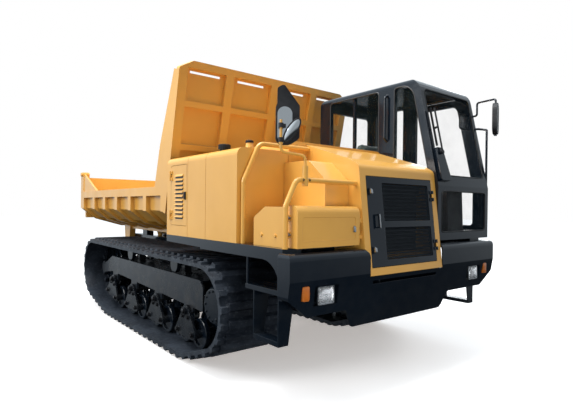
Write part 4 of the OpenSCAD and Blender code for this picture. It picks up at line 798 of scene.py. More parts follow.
def rounded_path(corners: Sequence[Pair], radii: Sequence[float] | float,
                 steps: int = 7) -> np.ndarray:
    """Round a closed outline: each corner becomes an arc that touches both its sides.

    Args:
        corners: Corner points.
        radii: One radius, or one for each corner.
        steps: Points on an arc.

    Returns:
        Points (corners x steps, 2).
    """
    c = np.asarray(corners, float)
    r = np.broadcast_to(np.asarray(radii, float), (len(c),))[:, None]
    back = np.roll(c, 1, 0) - c
    on = np.roll(c, -1, 0) - c
    back /= np.linalg.norm(back, axis=1, keepdims=True)
    on /= np.linalg.norm(on, axis=1, keepdims=True)
    half = np.arccos(np.clip((back * on).sum(1, keepdims=True), -1.0, 1.0)) / 2.0
    mid = back + on
    mid = c + mid / np.linalg.norm(mid, axis=1, keepdims=True) * r / np.sin(half)
    start = c + back * r / np.tan(half) - mid
    cross = back[:, :1] * on[:, 1:] - back[:, 1:] * on[:, :1]
    turn = -np.sign(cross) * (math.pi - 2.0 * half) * np.linspace(0.0, 1.0, steps)[None, :]
    x = start[:, :1] * np.cos(turn) - start[:, 1:] * np.sin(turn)
    y = start[:, :1] * np.sin(turn) + start[:, 1:] * np.cos(turn)
    return (mid[:, None] + np.stack([x, y], -1)).reshape(-1, 2)


def rounded_box(low: Pair, high: Pair, r: float, steps: int = 7) -> np.ndarray:
    """Give the outline of a rounded rectangle between two corners."""
    return rounded_path([low, (high[0], low[1]), high, (low[0], high[1])], r, steps)


def rounded_plate(half: Pair, r: float, steps: int = 7) -> np.ndarray:
    """Give the outline of a rounded rectangle round the origin."""
    return rounded_box((-half[0], -half[1]), half, r, steps)


def ringed(outline: np.ndarray, section: np.ndarray) -> Shell:
    """Carry a section round a flat outline, with its top along +Z."""
    return carried(np.pad(outline, ((0, 0), (0, 1))), section, UP, closed=True)


def dome(outline: np.ndarray, rise: float, depth: float, rings: int = 9,
         power: float = 2.0) -> Shell:
    """Raise a lens over an outline: point = t outline, height = rise (1 - t^power).

    Args:
        outline: Points (n, 2) round the origin, counter-clockwise.
        rise: Height in the middle.
        depth: Thickness under the rim, down to a flat back.
        rings: Rings from the middle to the rim.
        power: How flat the middle is.

    Returns:
        The closed surface, facing +Z.
    """
    t = np.concatenate([np.linspace(0.0, 1.0, rings), [1.0, 0.0]])
    h = np.concatenate([rise * (1.0 - np.linspace(0.0, 1.0, rings) ** power), [-depth, -depth]])
    flat = outline[:, None] * t[None, :, None]
    height = np.broadcast_to(h[None, :, None], (*flat.shape[:2], 1))
    return Shell.grid(np.concatenate([flat, height], -1), wrap_u=True)


def hex_bolt(across: float, height: float) -> Shell:
    """Make a hexagon head on a washer: a six-sided and a twelve-sided profile turned about Z."""
    r = across / math.sqrt(3.0)
    head = lathe([(r, 0.0), (r, 0.85 * height), (0.88 * r, height), (0.0, height)], sides=6)
    washer = lathe([(1.5 * r, 0.0), (1.5 * r, 0.16 * height), (0.9 * r, 0.2 * height)], sides=12)
    return Shell.joined([head, washer])


def weld_bead(a: Vec, b: Vec, up: Vec, r: float = 7.0, pitch: float = 16.0) -> Shell:
    """Lay a weld from a to b: a ridge whose radius ripples as |sin| of the way along."""
    a, b = np.asarray(a, float), np.asarray(b, float)
    length = float(np.linalg.norm(b - a))
    s = np.linspace(0.0, length, max(int(length / pitch * RIPPLE_POINTS), BEAD_POINTS))
    path = a + (b - a) * (s / length)[:, None]
    ripple = RIPPLE_LOW + RIPPLE_RISE * np.abs(np.sin(math.pi * s / pitch))
    return carried(path, round_section(r, sides=6), up, swell=ripple)


# Pieces


def join_doubles(mesh: bpy.types.Mesh, turn_out: bool) -> None:
    """Join a mesh's double points, and turn its faces outward if asked."""
    form = bmesh.new()
    form.from_mesh(mesh)
    bmesh.ops.remove_doubles(form, verts=form.verts, dist=MERGE)
    if turn_out:
        bmesh.ops.recalc_face_normals(form, faces=form.faces)
    form.to_mesh(mesh)
    form.free()


@dataclass
class Bench:
    """Turns surfaces into finished pieces that ride on a body."""

    wardrobe: Wardrobe
    smooth_deg: float = 38.0

    def put(self, name: str, shell: Shell, finish: Finish, body: str) -> None:
        """Make a piece from a surface in machine millimetres, with its place in its mesh.

        Args:
            name: The piece's name.
            shell: Its surface.
            finish: Its finish.
            body: The body that it rides on.
        """
        mesh = bpy.data.meshes.new(name)
        points = (shell.points - ORIGIN) / MM_PER_M
        mesh.from_pydata(points.tolist(), [], shell.faces.tolist())
        join_doubles(mesh, turn_out=True)
        mesh.shade_smooth()
        mesh.set_sharp_from_angle(angle=math.radians(self.smooth_deg))
        piece = bpy.data.objects.new(name, mesh)
        bpy.context.scene.collection.objects.link(piece)
        self.wardrobe.wear(piece, finish)
        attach(piece, body)
        LOG.info("%s: %d faces on %s", name, len(mesh.polygons), body)


@dataclass(frozen=True)
class GrilleDress:
    """Woven wire behind the bars of the grille door, its plated latches and its grip."""

    lean_deg: float = 6.6
    nose_z: float = 1028.0
    centre: Vec = (-87.5, 0.0, 66.0)
    across: Pair = (-278.5, 423.5)
    panels: tuple[Pair, ...] = ((59.0, 348.3), (405.0, 751.0))
    wire_y: float = 8.0
    pitch: float = 12.0
    wire_r: float = 2.6
    wire_sides: int = 4
    grip: Vec = (-381.0, -37.0, 402.0)
    grip_half: Vec = (6.0, 64.0, 5.0)
    latches: tuple[Vec, ...] = ((-453.5, -16.0, 154.0), (-453.5, -16.0, 666.0))
    latch_scale: Vec = (0.7, 0.6, 0.8)

    def on_door(self, shell: Shell) -> Shell:
        """Take a surface from the door's own axes to the machine."""
        axes = leaned(self.lean_deg)
        return shell.moved(axes, np.array([0.0, 0.0, self.nose_z]) + np.array(self.centre) @ axes)

    def wires(self, z: Pair, upright: bool) -> Shell:
        """Weave one set of wires of a panel.

        Wire k is wire_r cos(pi s / pitch + pi k) high where it has run a way s.

        Args:
            z: The panel's lower and upper edge.
            upright: Whether the wires stand or lie.

        Returns:
            The set's surface.
        """
        (a0, a1), (b0, b1) = (z, self.across) if upright else (self.across, z)
        n, sides = int((a1 - a0) / self.pitch) * 2 + 1, self.wire_sides
        k = np.arange(int((b1 - b0) / self.pitch) + 1)
        s = np.linspace(a0, a1, n)
        u = np.linspace(0.0, FULL_TURN, sides, endpoint=False)
        phase = math.pi * (s[None] - a0) / self.pitch + math.pi * (k[:, None] + upright)
        along = np.broadcast_to(s[None, :, None], (len(k), n, sides))
        beside = (b0 + self.pitch * k)[:, None, None] + self.wire_r * np.cos(u)
        depth = self.wire_y + self.wire_r * np.cos(phase)[..., None] + self.wire_r * np.sin(u)
        beside = np.broadcast_to(beside, along.shape)
        points = np.stack([beside, depth, along] if upright else [along, depth, beside], -1)
        one = Shell.grid(np.zeros((n, sides, 3)), wrap_v=True).faces
        faces = one[None] + (np.arange(len(k)) * n * sides)[:, None, None]
        return Shell(points.reshape(-1, 3), faces.reshape(-1, 4))

    def dress(self, bench: Bench) -> None:
        """Make the wire panels, the two latches and the grip."""
        weave = [self.wires(z, upright) for z in self.panels for upright in (False, True)]
        bench.put("grille_wire", self.on_door(Shell.joined(weave)), GRILLE_WIRE_AND_SLOT_SHADE, "grille_door")
        latch = draw_latch().scaled(self.latch_scale)
        plated = [latch.moved(FACING_FRONT, p) for p in self.latches]
        plated.append(pillow(self.grip_half, power=0.4).moved(FACING_FRONT, self.grip))
        bench.put("grille_latches", self.on_door(Shell.joined(plated)), PLATED, "grille_door")


def draw_latch() -> Shell:
    """Make a draw latch that faces +Z along Y: a rounded body, a paddle and a hooked end."""
    body = pillow((18.0, 33.0, 10.5), power=0.2).moved(LEVEL, (0.0, 0.0, 9.0))
    paddle = pillow((13.0, 25.0, 3.5), power=0.35).moved(leaned(5.0), (0.0, -4.0, 21.0))
    hook = pillow((9.0, 9.0, 5.0), power=0.4).moved(LEVEL, (0.0, 36.0, 6.0))
    return Shell.joined([body, paddle, hook])


@dataclass(frozen=True)
class BodyLatches:
    """Plated latches of the tool box cover, two door handles, and dark strips in the louvre slots
    that paint their shade.
    """

    cover_side: tuple[Vec, ...] = ((-1379.0, 181.0, 1399.0), (-1379.0, 181.0, 1528.0))
    side_scale: Vec = (1.0, 0.8, 0.85)
    cover_front: Vec = (-760.0, 56.0, 1430.0)
    front_scale: Vec = (0.8, 0.7, 0.7)
    louvre_grip: Vec = (-1457.0, 1802.0, 1720.0)
    louvre_grip_half: Vec = (15.0, 42.0, 10.0)
    # Dark strips in the louvre slots: painted shade of the space behind the louvres
    shade_strip_at: Vec = (-1450.0, 1946.5, 1480.5)
    shade_strip_half: Vec = (91.0, 8.6, 2.5)
    louvre_pitch: float = 480.0 / 11.0
    louvre_n: int = 11
    door_pull: Vec = (1486.0, 190.0, 1760.0)
    door_pull_half: Vec = (18.0, 72.0, 10.0)

    def dress(self, bench: Bench) -> None:
        """Make the latches, the handles and the dark strips that paint shade in the louvre slots.
        """
        latch = draw_latch()
        lying = Shell(latch.points[:, [1, 0, 2]], latch.faces).scaled(self.side_scale)
        plated = [lying.moved(FACING_RIGHT, p) for p in self.cover_side]
        plated.append(latch.scaled(self.front_scale).moved(FACING_FRONT, self.cover_front))
        bench.put("cover_latches", Shell.joined(plated), PLATED, "toolbox_cover")
        grip = pillow(self.louvre_grip_half, power=0.3).moved(FACING_RIGHT, self.louvre_grip)
        bench.put("louvre_handle", grip, FINISHES[Slot.PLASTIC], "louver_door")
        # Painted shade: one dark strip in each louvre slot, in the dark wire finish
        rise = np.outer(self.louvre_pitch * np.arange(self.louvre_n), UP)
        shade_strip = pillow(self.shade_strip_half, power=0.15).moved(FACING_RIGHT, HERE)
        bench.put("louvre_painted_shade", shade_strip.copied(self.shade_strip_at + rise), GRILLE_WIRE_AND_SLOT_SHADE, "louver_door")
        pull = pillow(self.door_pull_half, power=0.3).moved(FACING_LEFT, self.door_pull)
        bench.put("door_handle", pull, FINISHES[Slot.PLASTIC], "cab_door")


@dataclass(frozen=True)
class LampDress:
    """Reflector, bulb, lens and bezel of each headlamp, and the amber lens of each signal."""

    x: float = 1105.0
    z: float = 921.0
    face_y: float = 25.0
    half: Pair = (86.0, 68.0)
    corner_r: float = 16.0
    lens_rise: float = 14.0
    lens_d: float = 2.0
    bezel_r: float = 5.0
    bezel_grow: float = 1.015
    bowl_share: float = 0.95
    bowl_rim: float = 0.97
    bowl_d: float = 9.5
    bowl_back: float = -10.0
    bowl_rings: int = 9
    bulb_half: Vec = (9.0, 9.0, 7.0)
    bulb_at: Vec = (0.0, 0.0, -4.0)
    signal: Vec = (1330.0, 9.0, 956.0)
    signal_half: Pair = (34.0, 54.0)
    signal_r: float = 12.0
    signal_rise: float = 7.0

    def dress(self, bench: Bench) -> None:
        """Make the lamps of both sides."""
        square = rounded_plate(self.half, self.corner_r)
        lens = dome(square, self.lens_rise, self.lens_d, power=3.0)
        bezel = ringed(square * self.bezel_grow, round_section(self.bezel_r, sides=8))
        t = np.linspace(0.0, 1.0, self.bowl_rings)
        inner = zip(self.bowl_share * t, -self.bowl_d * (1.0 - t ** 2))
        rim, back = self.bowl_rim, self.bowl_back
        bowl = lathe([*inner, (rim, 0.0), (rim, back), (0.0, back)], sides=40)
        bulb = pillow(self.bulb_half, power=0.8).moved(LEVEL, self.bulb_at)
        reflector = Shell.joined([bowl.scaled((*self.half, 1.0)), bulb])
        amber = dome(rounded_plate(self.signal_half, self.signal_r), self.signal_rise, self.lens_d,
                     power=4.0)
        for side in Side:
            name = side.name.lower()
            at = (side.value * self.x, self.face_y, self.z)
            for part, shell, finish in (("lens", lens, CLEAR_LENS), ("bezel", bezel, PLATED),
                                        ("bowl", reflector, PLATED)):
                bench.put(f"{name}_lamp_{part}", shell.moved(FACING_FRONT, at), finish, MACHINE)
            spot = (side.value * self.signal[0], *self.signal[1:])
            bench.put(f"{name}_signal_lens", amber.moved(FACING_FRONT, spot),
                      FINISHES[Slot.AMBER], MACHINE)


@dataclass(frozen=True)
class MirrorDress:
    """Silvered glass of the three mirrors, and the rim of the oval one."""

    right_post: Vec = (-1400.0, 250.0, 2108.0)
    right_turn: float = -35.0
    tall_at: Vec = (32.0, 29.5, 159.0)
    tall_half: Pair = (59.0, 144.0)
    tall_r: float = 58.0
    tall_rise: float = 2.0
    oval_at: Vec = (88.0, 4.0, 112.0)
    oval_half: Pair = (104.0, 38.0)
    oval_tip: float = 57.0
    oval_rise: float = 16.0
    oval_d: float = 2.0
    oval_sides: int = 48
    rim_r: float = 6.0
    rim_grow: float = 1.03
    left_post: Vec = (1412.0, -51.41, 2450.0)
    left_turn: float = 20.0
    left_at: Vec = (0.0, 25.0, 177.0)
    left_half: Pair = (84.0, 165.0)
    left_r: float = 72.0
    left_rise: float = 1.5
    glass_d: float = 2.5
    arc_steps: int = 12

    def pane(self, half: Pair, r: float, rise: float) -> Shell:
        """Make a glass over a rounded rectangle, facing +Z."""
        return dome(rounded_plate(half, r, self.arc_steps), rise, self.glass_d)

    def dress(self, bench: Bench) -> None:
        """Make the glasses and the rim of the oval mirror."""
        axes = turned(self.right_turn)
        facing = FACING_FRONT @ axes
        oval = round_section(1.0, self.oval_sides) * self.oval_half @ turned(self.oval_tip)[:2, :2]
        tall_at, oval_at = (np.array(self.right_post) + np.array(p) @ axes
                            for p in (self.tall_at, self.oval_at))
        tall = self.pane(self.tall_half, self.tall_r, self.tall_rise).moved(facing, tall_at)
        small = dome(oval, self.oval_rise, self.oval_d).moved(facing, oval_at)
        bench.put("right_mirror_glass", Shell.joined([tall, small]), MIRROR, "right_mirror")
        rim = ringed(oval * self.rim_grow, round_section(self.rim_r)).moved(facing, oval_at)
        bench.put("right_mirror_rim", rim, FINISHES[Slot.PLASTIC], "right_mirror")
        axes = turned(self.left_turn)
        left_at = np.array(self.left_post) + np.array(self.left_at) @ axes
        glass = self.pane(self.left_half, self.left_r, self.left_rise)
        bench.put("left_mirror_glass", glass.moved(FACING_REAR @ axes, left_at), MIRROR,
                  "left_mirror")


@dataclass(frozen=True)
class CabSeals:
    """Black rubber seals in the rabbets of the cab's windows and of the door's window."""

    right_x: float = 480.0
    left_x: float = 1480.0
    front_y: float = 60.0
    back_y: float = 1820.0
    knee_z: float = 1850.0
    roof_z: float = 3010.0
    lean: float = 258.0
    quarter: Box = ((155.0, 1620.0), (620.0, 2935.0))
    quarter_sweep: float = 95.0
    quarter_knee: float = 10.0
    quarter_r: tuple[float, ...] = (36.0, 36.0, 36.0, 176.0, 60.0)
    rear: Box = ((850.0, 1950.0), (1630.0, 2935.0))
    left: Box = ((1220.0, 1950.0), (1690.0, 2935.0))
    lower: Box = ((550.0, 1380.0), (1410.0, 1790.0))
    back: Box = ((560.0, 2050.0), (1400.0, 2870.0))
    upper_x: Pair = (545.0, 1415.0)
    upper_ends: Pair = (120.0, 130.0)
    door: Box = ((225.0, 1420.0), (1025.0, 2850.0))
    door_r: tuple[float, ...] = (40.0, 40.0, 50.0, 100.0, 40.0)
    side_r: float = 40.0
    lower_r: float = 30.0
    upper_r: float = 45.0
    rabbet: float = 6.0
    section: tuple[Pair, ...] = ((-7.0, -7.5), (7.0, -7.5), (7.0, 0.0), (4.5, 3.0), (0.0, 4.0),
                                 (-4.5, 3.0), (-7.0, 0.0))

    def grown(self, box: Box) -> Box:
        """Give an opening's box grown to the middle of its rabbet."""
        (a, b), (c, d), m = *box, self.rabbet
        return (a - m, b - m), (c + m, d + m)

    def seal(self, outline: np.ndarray, axes: np.ndarray, origin: Vec) -> Shell:
        """Carry the seal's section round an outline, with its crown along the Z row of axes."""
        return ringed(outline, np.array(self.section)).moved(axes, origin)

    def square(self, box: Box, r: float) -> np.ndarray:
        """Give the outline of a rounded window."""
        return rounded_box(*self.grown(box), r + self.rabbet)

    def dress(self, bench: Bench) -> None:
        """Make the cab's seals and the door's seal."""
        tan = self.lean / (self.roof_z - self.knee_z)
        angle = math.atan(tan)
        (a, low), (b, high) = self.grown(self.quarter)
        swept = self.front_y + (self.quarter[1][1] - self.knee_z) * tan + self.quarter_sweep
        quarter = rounded_path([(a, low), (b, low), (b, high), (swept - self.rabbet, high),
                                (a, self.knee_z + self.quarter_knee)], self.quarter_r)
        near, far = self.upper_ends
        far = (self.roof_z - self.knee_z - far) / math.cos(angle)
        upper = self.square(((self.upper_x[0], near), (self.upper_x[1], far)), self.upper_r)
        flip = np.array([-1.0, 1.0])
        right, left = (self.right_x, 0.0, 0.0), (self.left_x, 0.0, 0.0)
        seals = [self.seal(quarter * flip, FACING_RIGHT, right),
                 self.seal(self.square(self.rear, self.side_r) * flip, FACING_RIGHT, right),
                 self.seal(self.square(self.left, self.side_r), FACING_LEFT, left),
                 self.seal(self.square(self.lower, self.lower_r), FACING_FRONT,
                           (0.0, self.front_y, 0.0)),
                 self.seal(self.square(self.back, self.side_r) * flip, FACING_REAR,
                           (0.0, self.back_y, 0.0)),
                 self.seal(upper, FACING_FRONT @ leaned(math.degrees(angle)),
                           (0.0, self.front_y, self.knee_z))]
        bench.put("window_seals", Shell.joined(seals), SEAL, MACHINE)
        (a, low), (b, high) = self.grown(self.door)
        door = rounded_path([(a, low), (b, low), (b, high),
                             (a + (high - self.knee_z) * tan, high), (a, self.knee_z)], self.door_r)
        bench.put("door_seal", self.seal(door, FACING_LEFT, left), SEAL, "cab_door")


@dataclass(frozen=True)
class SmallParts:
    """Bolts of the bogies and the mirror stay, filler neck and caps, and the cab's grab loop."""

    track_x: float = 1106.0
    plate_x: float = 246.0
    axle_x: float = 262.0
    pivot_x: float = 272.0
    first_y: float = 1801.0
    bogie_pitch: float = 819.0
    roller_z: float = 242.6
    roller_step: float = 344.0
    rocker_h: float = 228.0
    ramp_deg: float = 11.75
    plate_step: float = 62.0
    plate_bolt: Pair = (36.0, 22.0)
    axle_bolt: Pair = (40.0, 18.0)
    pivot_bolt: Pair = (52.0, 16.0)
    stay_bolt: Pair = (15.0, 9.0)
    stay_bolts: tuple[Vec, ...] = ((-1262.0, 133.0, 1828.0), (-1198.0, 133.0, 1828.0))
    tall_cap: Vec = (-1079.0, 1166.0, 2140.0)
    neck: tuple[Pair, ...] = ((46.0, 0.0), (46.0, 5.0), (43.6, 8.0), (43.6, 54.0), (42.0, 60.0),
                              (37.5, 66.0), (36.5, 98.0), (34.0, 101.0))
    tall_grip: tuple[Pair, ...] = ((34.0, 100.0), (39.0, 101.0), (39.0, 121.0), (34.0, 126.0),
                                   (0.0, 127.5))
    low_cap: Vec = (-1338.0, 1207.0, 2140.0)
    low_grip: tuple[Pair, ...] = ((57.5, 19.0), (57.5, 58.0), (52.0, 64.0), (0.0, 66.0))
    loop: Vec = (1372.0, 320.0, 2640.0)
    loop_half: Pair = (70.0, 85.0)
    loop_corner: float = 30.0
    loop_r: float = 9.0

    def bogie_points(self, local: Sequence[Pair]) -> np.ndarray:
        """Place points (y, z) of a bogie's own plate on all four: the ramp turns the last up.

        Args:
            local: Points from the first axle.

        Returns:
            Points (4 x n, 2) of (y, z) on the machine.
        """
        p = np.asarray(local, float)
        tip = np.radians([0.0, 0.0, 0.0, self.ramp_deg])[:, None]
        y = p[None, :, 0] * np.cos(tip) - p[None, :, 1] * np.sin(tip)
        z = p[None, :, 0] * np.sin(tip) + p[None, :, 1] * np.cos(tip)
        start = self.first_y + self.bogie_pitch * np.arange(len(tip))[:, None]
        return np.stack([start + y, self.roller_z + z], -1).reshape(-1, 2)

    def dress(self, bench: Bench) -> None:
        """Make the small parts."""
        mid, step, high = self.roller_step / 2.0, self.plate_step, self.rocker_h - self.plate_step
        bolts = ((self.bogie_points([(mid - step, high), (mid + step, high)]), self.plate_x,
                  self.plate_bolt),
                 (self.bogie_points([(0.0, 0.0), (self.roller_step, 0.0)]), self.axle_x,
                  self.axle_bolt),
                 (self.bogie_points([(mid, self.rocker_h)]), self.pivot_x, self.pivot_bolt))
        for side, axes in ((Side.RIGHT, FACING_RIGHT), (Side.LEFT, FACING_LEFT)):
            sets = []
            for spots, x, size in bolts:
                out = np.full(len(spots), side.value * (self.track_x + x))
                sets.append(hex_bolt(*size).moved(axes, HERE).copied(np.column_stack([out, spots])))
            bench.put(f"{side.name.lower()}_bogie_bolts", Shell.joined(sets), OILED_BOLT, MACHINE)
        stay = hex_bolt(*self.stay_bolt).moved(FACING_FRONT, HERE).copied(self.stay_bolts)
        bench.put("stay_bolts", stay, OILED_BOLT, MACHINE)
        neck = lathe(self.neck, sides=40).moved(LEVEL, self.tall_cap)
        bench.put("filler_neck", neck, FINISHES[Slot.YELLOW], MACHINE)
        caps = [lathe(self.tall_grip, sides=72, lobes=18, lobe_d=1.2).moved(LEVEL, self.tall_cap),
                lathe(self.low_grip, sides=96, lobes=24, lobe_d=1.6).moved(LEVEL, self.low_cap)]
        bench.put("filler_cap_grips", Shell.joined(caps), FINISHES[Slot.PLASTIC], MACHINE)
        loop = ringed(rounded_plate(self.loop_half, self.loop_corner), round_section(self.loop_r))
        bench.put("cab_grab_loop", loop.moved(FACING_FRONT, self.loop), FINISHES[Slot.PLASTIC],
                  MACHINE)


@dataclass(frozen=True)
class BedWelds:
    """Weld beads where the bed's ribs meet its sheets and rail."""

    bed_y0: float = 2559.0
    first_y: float = 61.0
    pitch: float = 561.0
    rib_n: int = 6
    rib_w: float = 110.0
    skin_x: float = 1290.0
    foot_l: float = 58.0
    rail_low: float = 1733.0
    fold_z: float = 1550.0
    lean_deg: float = 12.0
    floor_z: float = 1400.0
    head_ribs: tuple[float, ...] = (-680.0, 0.0, 680.0)
    head_d: float = 60.0
    head_z: Pair = (960.0, 1390.0)

    def dress(self, bench: Bench) -> None:
        """Lay the beads on both sides and on the headboard's front."""
        y = self.bed_y0 + self.first_y + self.pitch * np.arange(self.rib_n)
        edges = (-self.rib_w / 2, self.rib_w / 2)
        beads = []
        for side in Side:
            x, low = side.value * self.skin_x, self.rail_low
            one = [weld_bead((x, e, self.fold_z), (x, e, low), (1.0, 0.0, 0.0)) for e in edges]
            foot = weld_bead((x, edges[0], low), (x + side.value * self.foot_l, edges[0], low), UP)
            beads.append(Shell.joined([*one, foot]).copied(np.stack([0 * y, y, 0 * y], -1)))
        bench.put("bed_welds", Shell.joined(beads), FINISHES[Slot.YELLOW], "dump_bed")
        low, high = self.head_z
        board = [weld_bead((x + e, self.head_d, low), (x + e, self.head_d, high), (0.0, 1.0, 0.0))
                 for x in self.head_ribs for e in edges]
        board = Shell.joined(board).moved(leaned(-self.lean_deg), (0.0, self.bed_y0, self.floor_z))
        bench.put("headboard_welds", board, FINISHES[Slot.YELLOW], "dump_bed")


@dataclass(frozen=True)
class SeatPads:
    """Stuffed covers of the seat's pads, swollen by a cloth simulation from a slimmer slab."""

    # Each pad's node, and the angle of its length over the floor
    pads: tuple[tuple[str, float], ...] = (("seat_cushion", 0.0), ("seat_back", 78.0))
    start: Vec = (0.975, 0.975, 0.84)
    voxel: float = 0.006
    pressure: float = 4.0
    frames: int = 20
    cap: float = 0.018
    channel: float = 0.56
    groove: float = 0.010
    groove_w: float = 0.011
    # The groove fades in over this band of the pad's half height
    groove_band: Pair = (0.1, 0.5)
    seam: float = 0.005
    seam_w: float = 0.0066
    seam_power: int = 8
    # Keeps the share of a point that didn't move finite
    still: float = 1e-9

    def dress(self, bench: Bench, frame: dict) -> None:
        """Stuff each pad."""
        for node, tip_deg in self.pads:
            self.stuff(bench, frame["nodes"][node], tip_deg)

    def stuff(self, bench: Bench, solid: bpy.types.Object, tip_deg: float) -> None:
        """Make one pad: slim the solid, remesh, swell, keep it in the solid's box and sew it.

        Args:
            bench: Where finishes come from.
            solid: The CAD pad.
            tip_deg: Angle of the pad's length over the floor.
        """
        axes = leaned(-tip_deg)
        mesh = solid.data.copy()
        join_doubles(mesh, turn_out=False)
        piece = bpy.data.objects.new(f"{solid.name}_cover", mesh)
        bpy.context.scene.collection.objects.link(piece)
        local = read_points(mesh) @ axes.T
        low, high = local.min(0), local.max(0)
        pivot = np.array([(low[0] + high[0]) / 2, (low[1] + high[1]) / 2, low[2]])
        write_points(mesh, (pivot + (local - pivot) * np.array(self.start)) @ axes)
        remesh = piece.modifiers.new("remesh", "REMESH")
        remesh.mode = "VOXEL"
        remesh.voxel_size = self.voxel
        settle(piece)
        rest = read_points(piece.data) @ axes.T
        swollen = self.swell(piece) @ axes.T - rest
        far = np.linalg.norm(swollen, axis=1, keepdims=True)
        points = rest + swollen * np.minimum(1.0, self.cap / np.maximum(far, self.still))
        write_points(piece.data, self.sewn(np.clip(points, low, high), low, high) @ axes)
        piece.data.shade_smooth()
        fine = piece.modifiers.new("fine", "SUBSURF")
        fine.levels = fine.render_levels = 1
        bench.wardrobe.wear(piece, FINISHES[Slot.CLOTH])
        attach(piece, MACHINE)
        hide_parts(solid.name)
        LOG.info("%s: %d faces", piece.name, len(piece.data.polygons))

    def swell(self, piece: bpy.types.Object) -> np.ndarray:
        """Run the cloth under pressure without gravity and give the points at its last frame."""
        cloth = piece.modifiers.new("cloth", "CLOTH")
        cloth.settings.use_pressure = True
        cloth.settings.uniform_pressure_force = self.pressure
        cloth.settings.effector_weights.gravity = 0.0
        cloth.point_cache.frame_start = 1
        cloth.point_cache.frame_end = self.frames
        scene = bpy.context.scene
        for number in range(1, self.frames + 1):
            scene.frame_set(number)
        shape = piece.evaluated_get(bpy.context.evaluated_depsgraph_get())
        points = read_points(shape.data)
        piece.modifiers.clear()
        scene.frame_set(1)
        return points

    def sewn(self, points: np.ndarray, low: np.ndarray, high: np.ndarray) -> np.ndarray:
        """Press two channels into the face and a seam round the waist.

        Each is as deep as its depth times exp(-(distance / width)^2).

        Args:
            points: Points on the pad's own axes.
            low: The box's lowest corner.
            high: Its highest corner.

        Returns:
            The pressed points.
        """
        mid, half = (low + high) / 2.0, (high - low) / 2.0
        side = np.abs(points[:, 0] - mid[0]) - self.channel * half[0]
        height = (points[:, 2] - mid[2]) / half[2]
        face = np.interp(height, self.groove_band, (0.0, 1.0))
        out = points.copy()
        out[:, 2] -= self.groove * np.exp(-(side / self.groove_w) ** 2) * face
        waist = self.seam * np.exp(-((points[:, 2] - mid[2]) / self.seam_w) ** 2)
        reach = (points[:, :2] - mid[:2]) / half[:2]
        out[:, :2] -= np.sign(reach) * np.abs(reach) ** self.seam_power * waist[:, None]
        return out


def read_points(mesh: bpy.types.Mesh) -> np.ndarray:
    """Give a mesh's points (n, 3)."""
    flat = np.empty(len(mesh.vertices) * 3, dtype=np.float32)
    mesh.vertices.foreach_get("co", flat)
    return flat.reshape(-1, 3).astype(float)


def write_points(mesh: bpy.types.Mesh, points: np.ndarray) -> None:
    """Set a mesh's points."""
    mesh.vertices.foreach_set("co", points.astype(np.float32).ravel())
    mesh.update()


def settle(piece: bpy.types.Object) -> None:
    """Make a piece's modifiers part of its mesh."""
    shape = piece.evaluated_get(bpy.context.evaluated_depsgraph_get())
    piece.data = bpy.data.meshes.new_from_object(shape)
    piece.modifiers.clear()


# Stage


@dataclass(frozen=True)
class Lamp:
    """A square area light: its place, watts, edge in metres, and whether gloss mirrors it."""

    name: str
    at: Vec
    power: float
    size: float
    in_gloss: bool = True


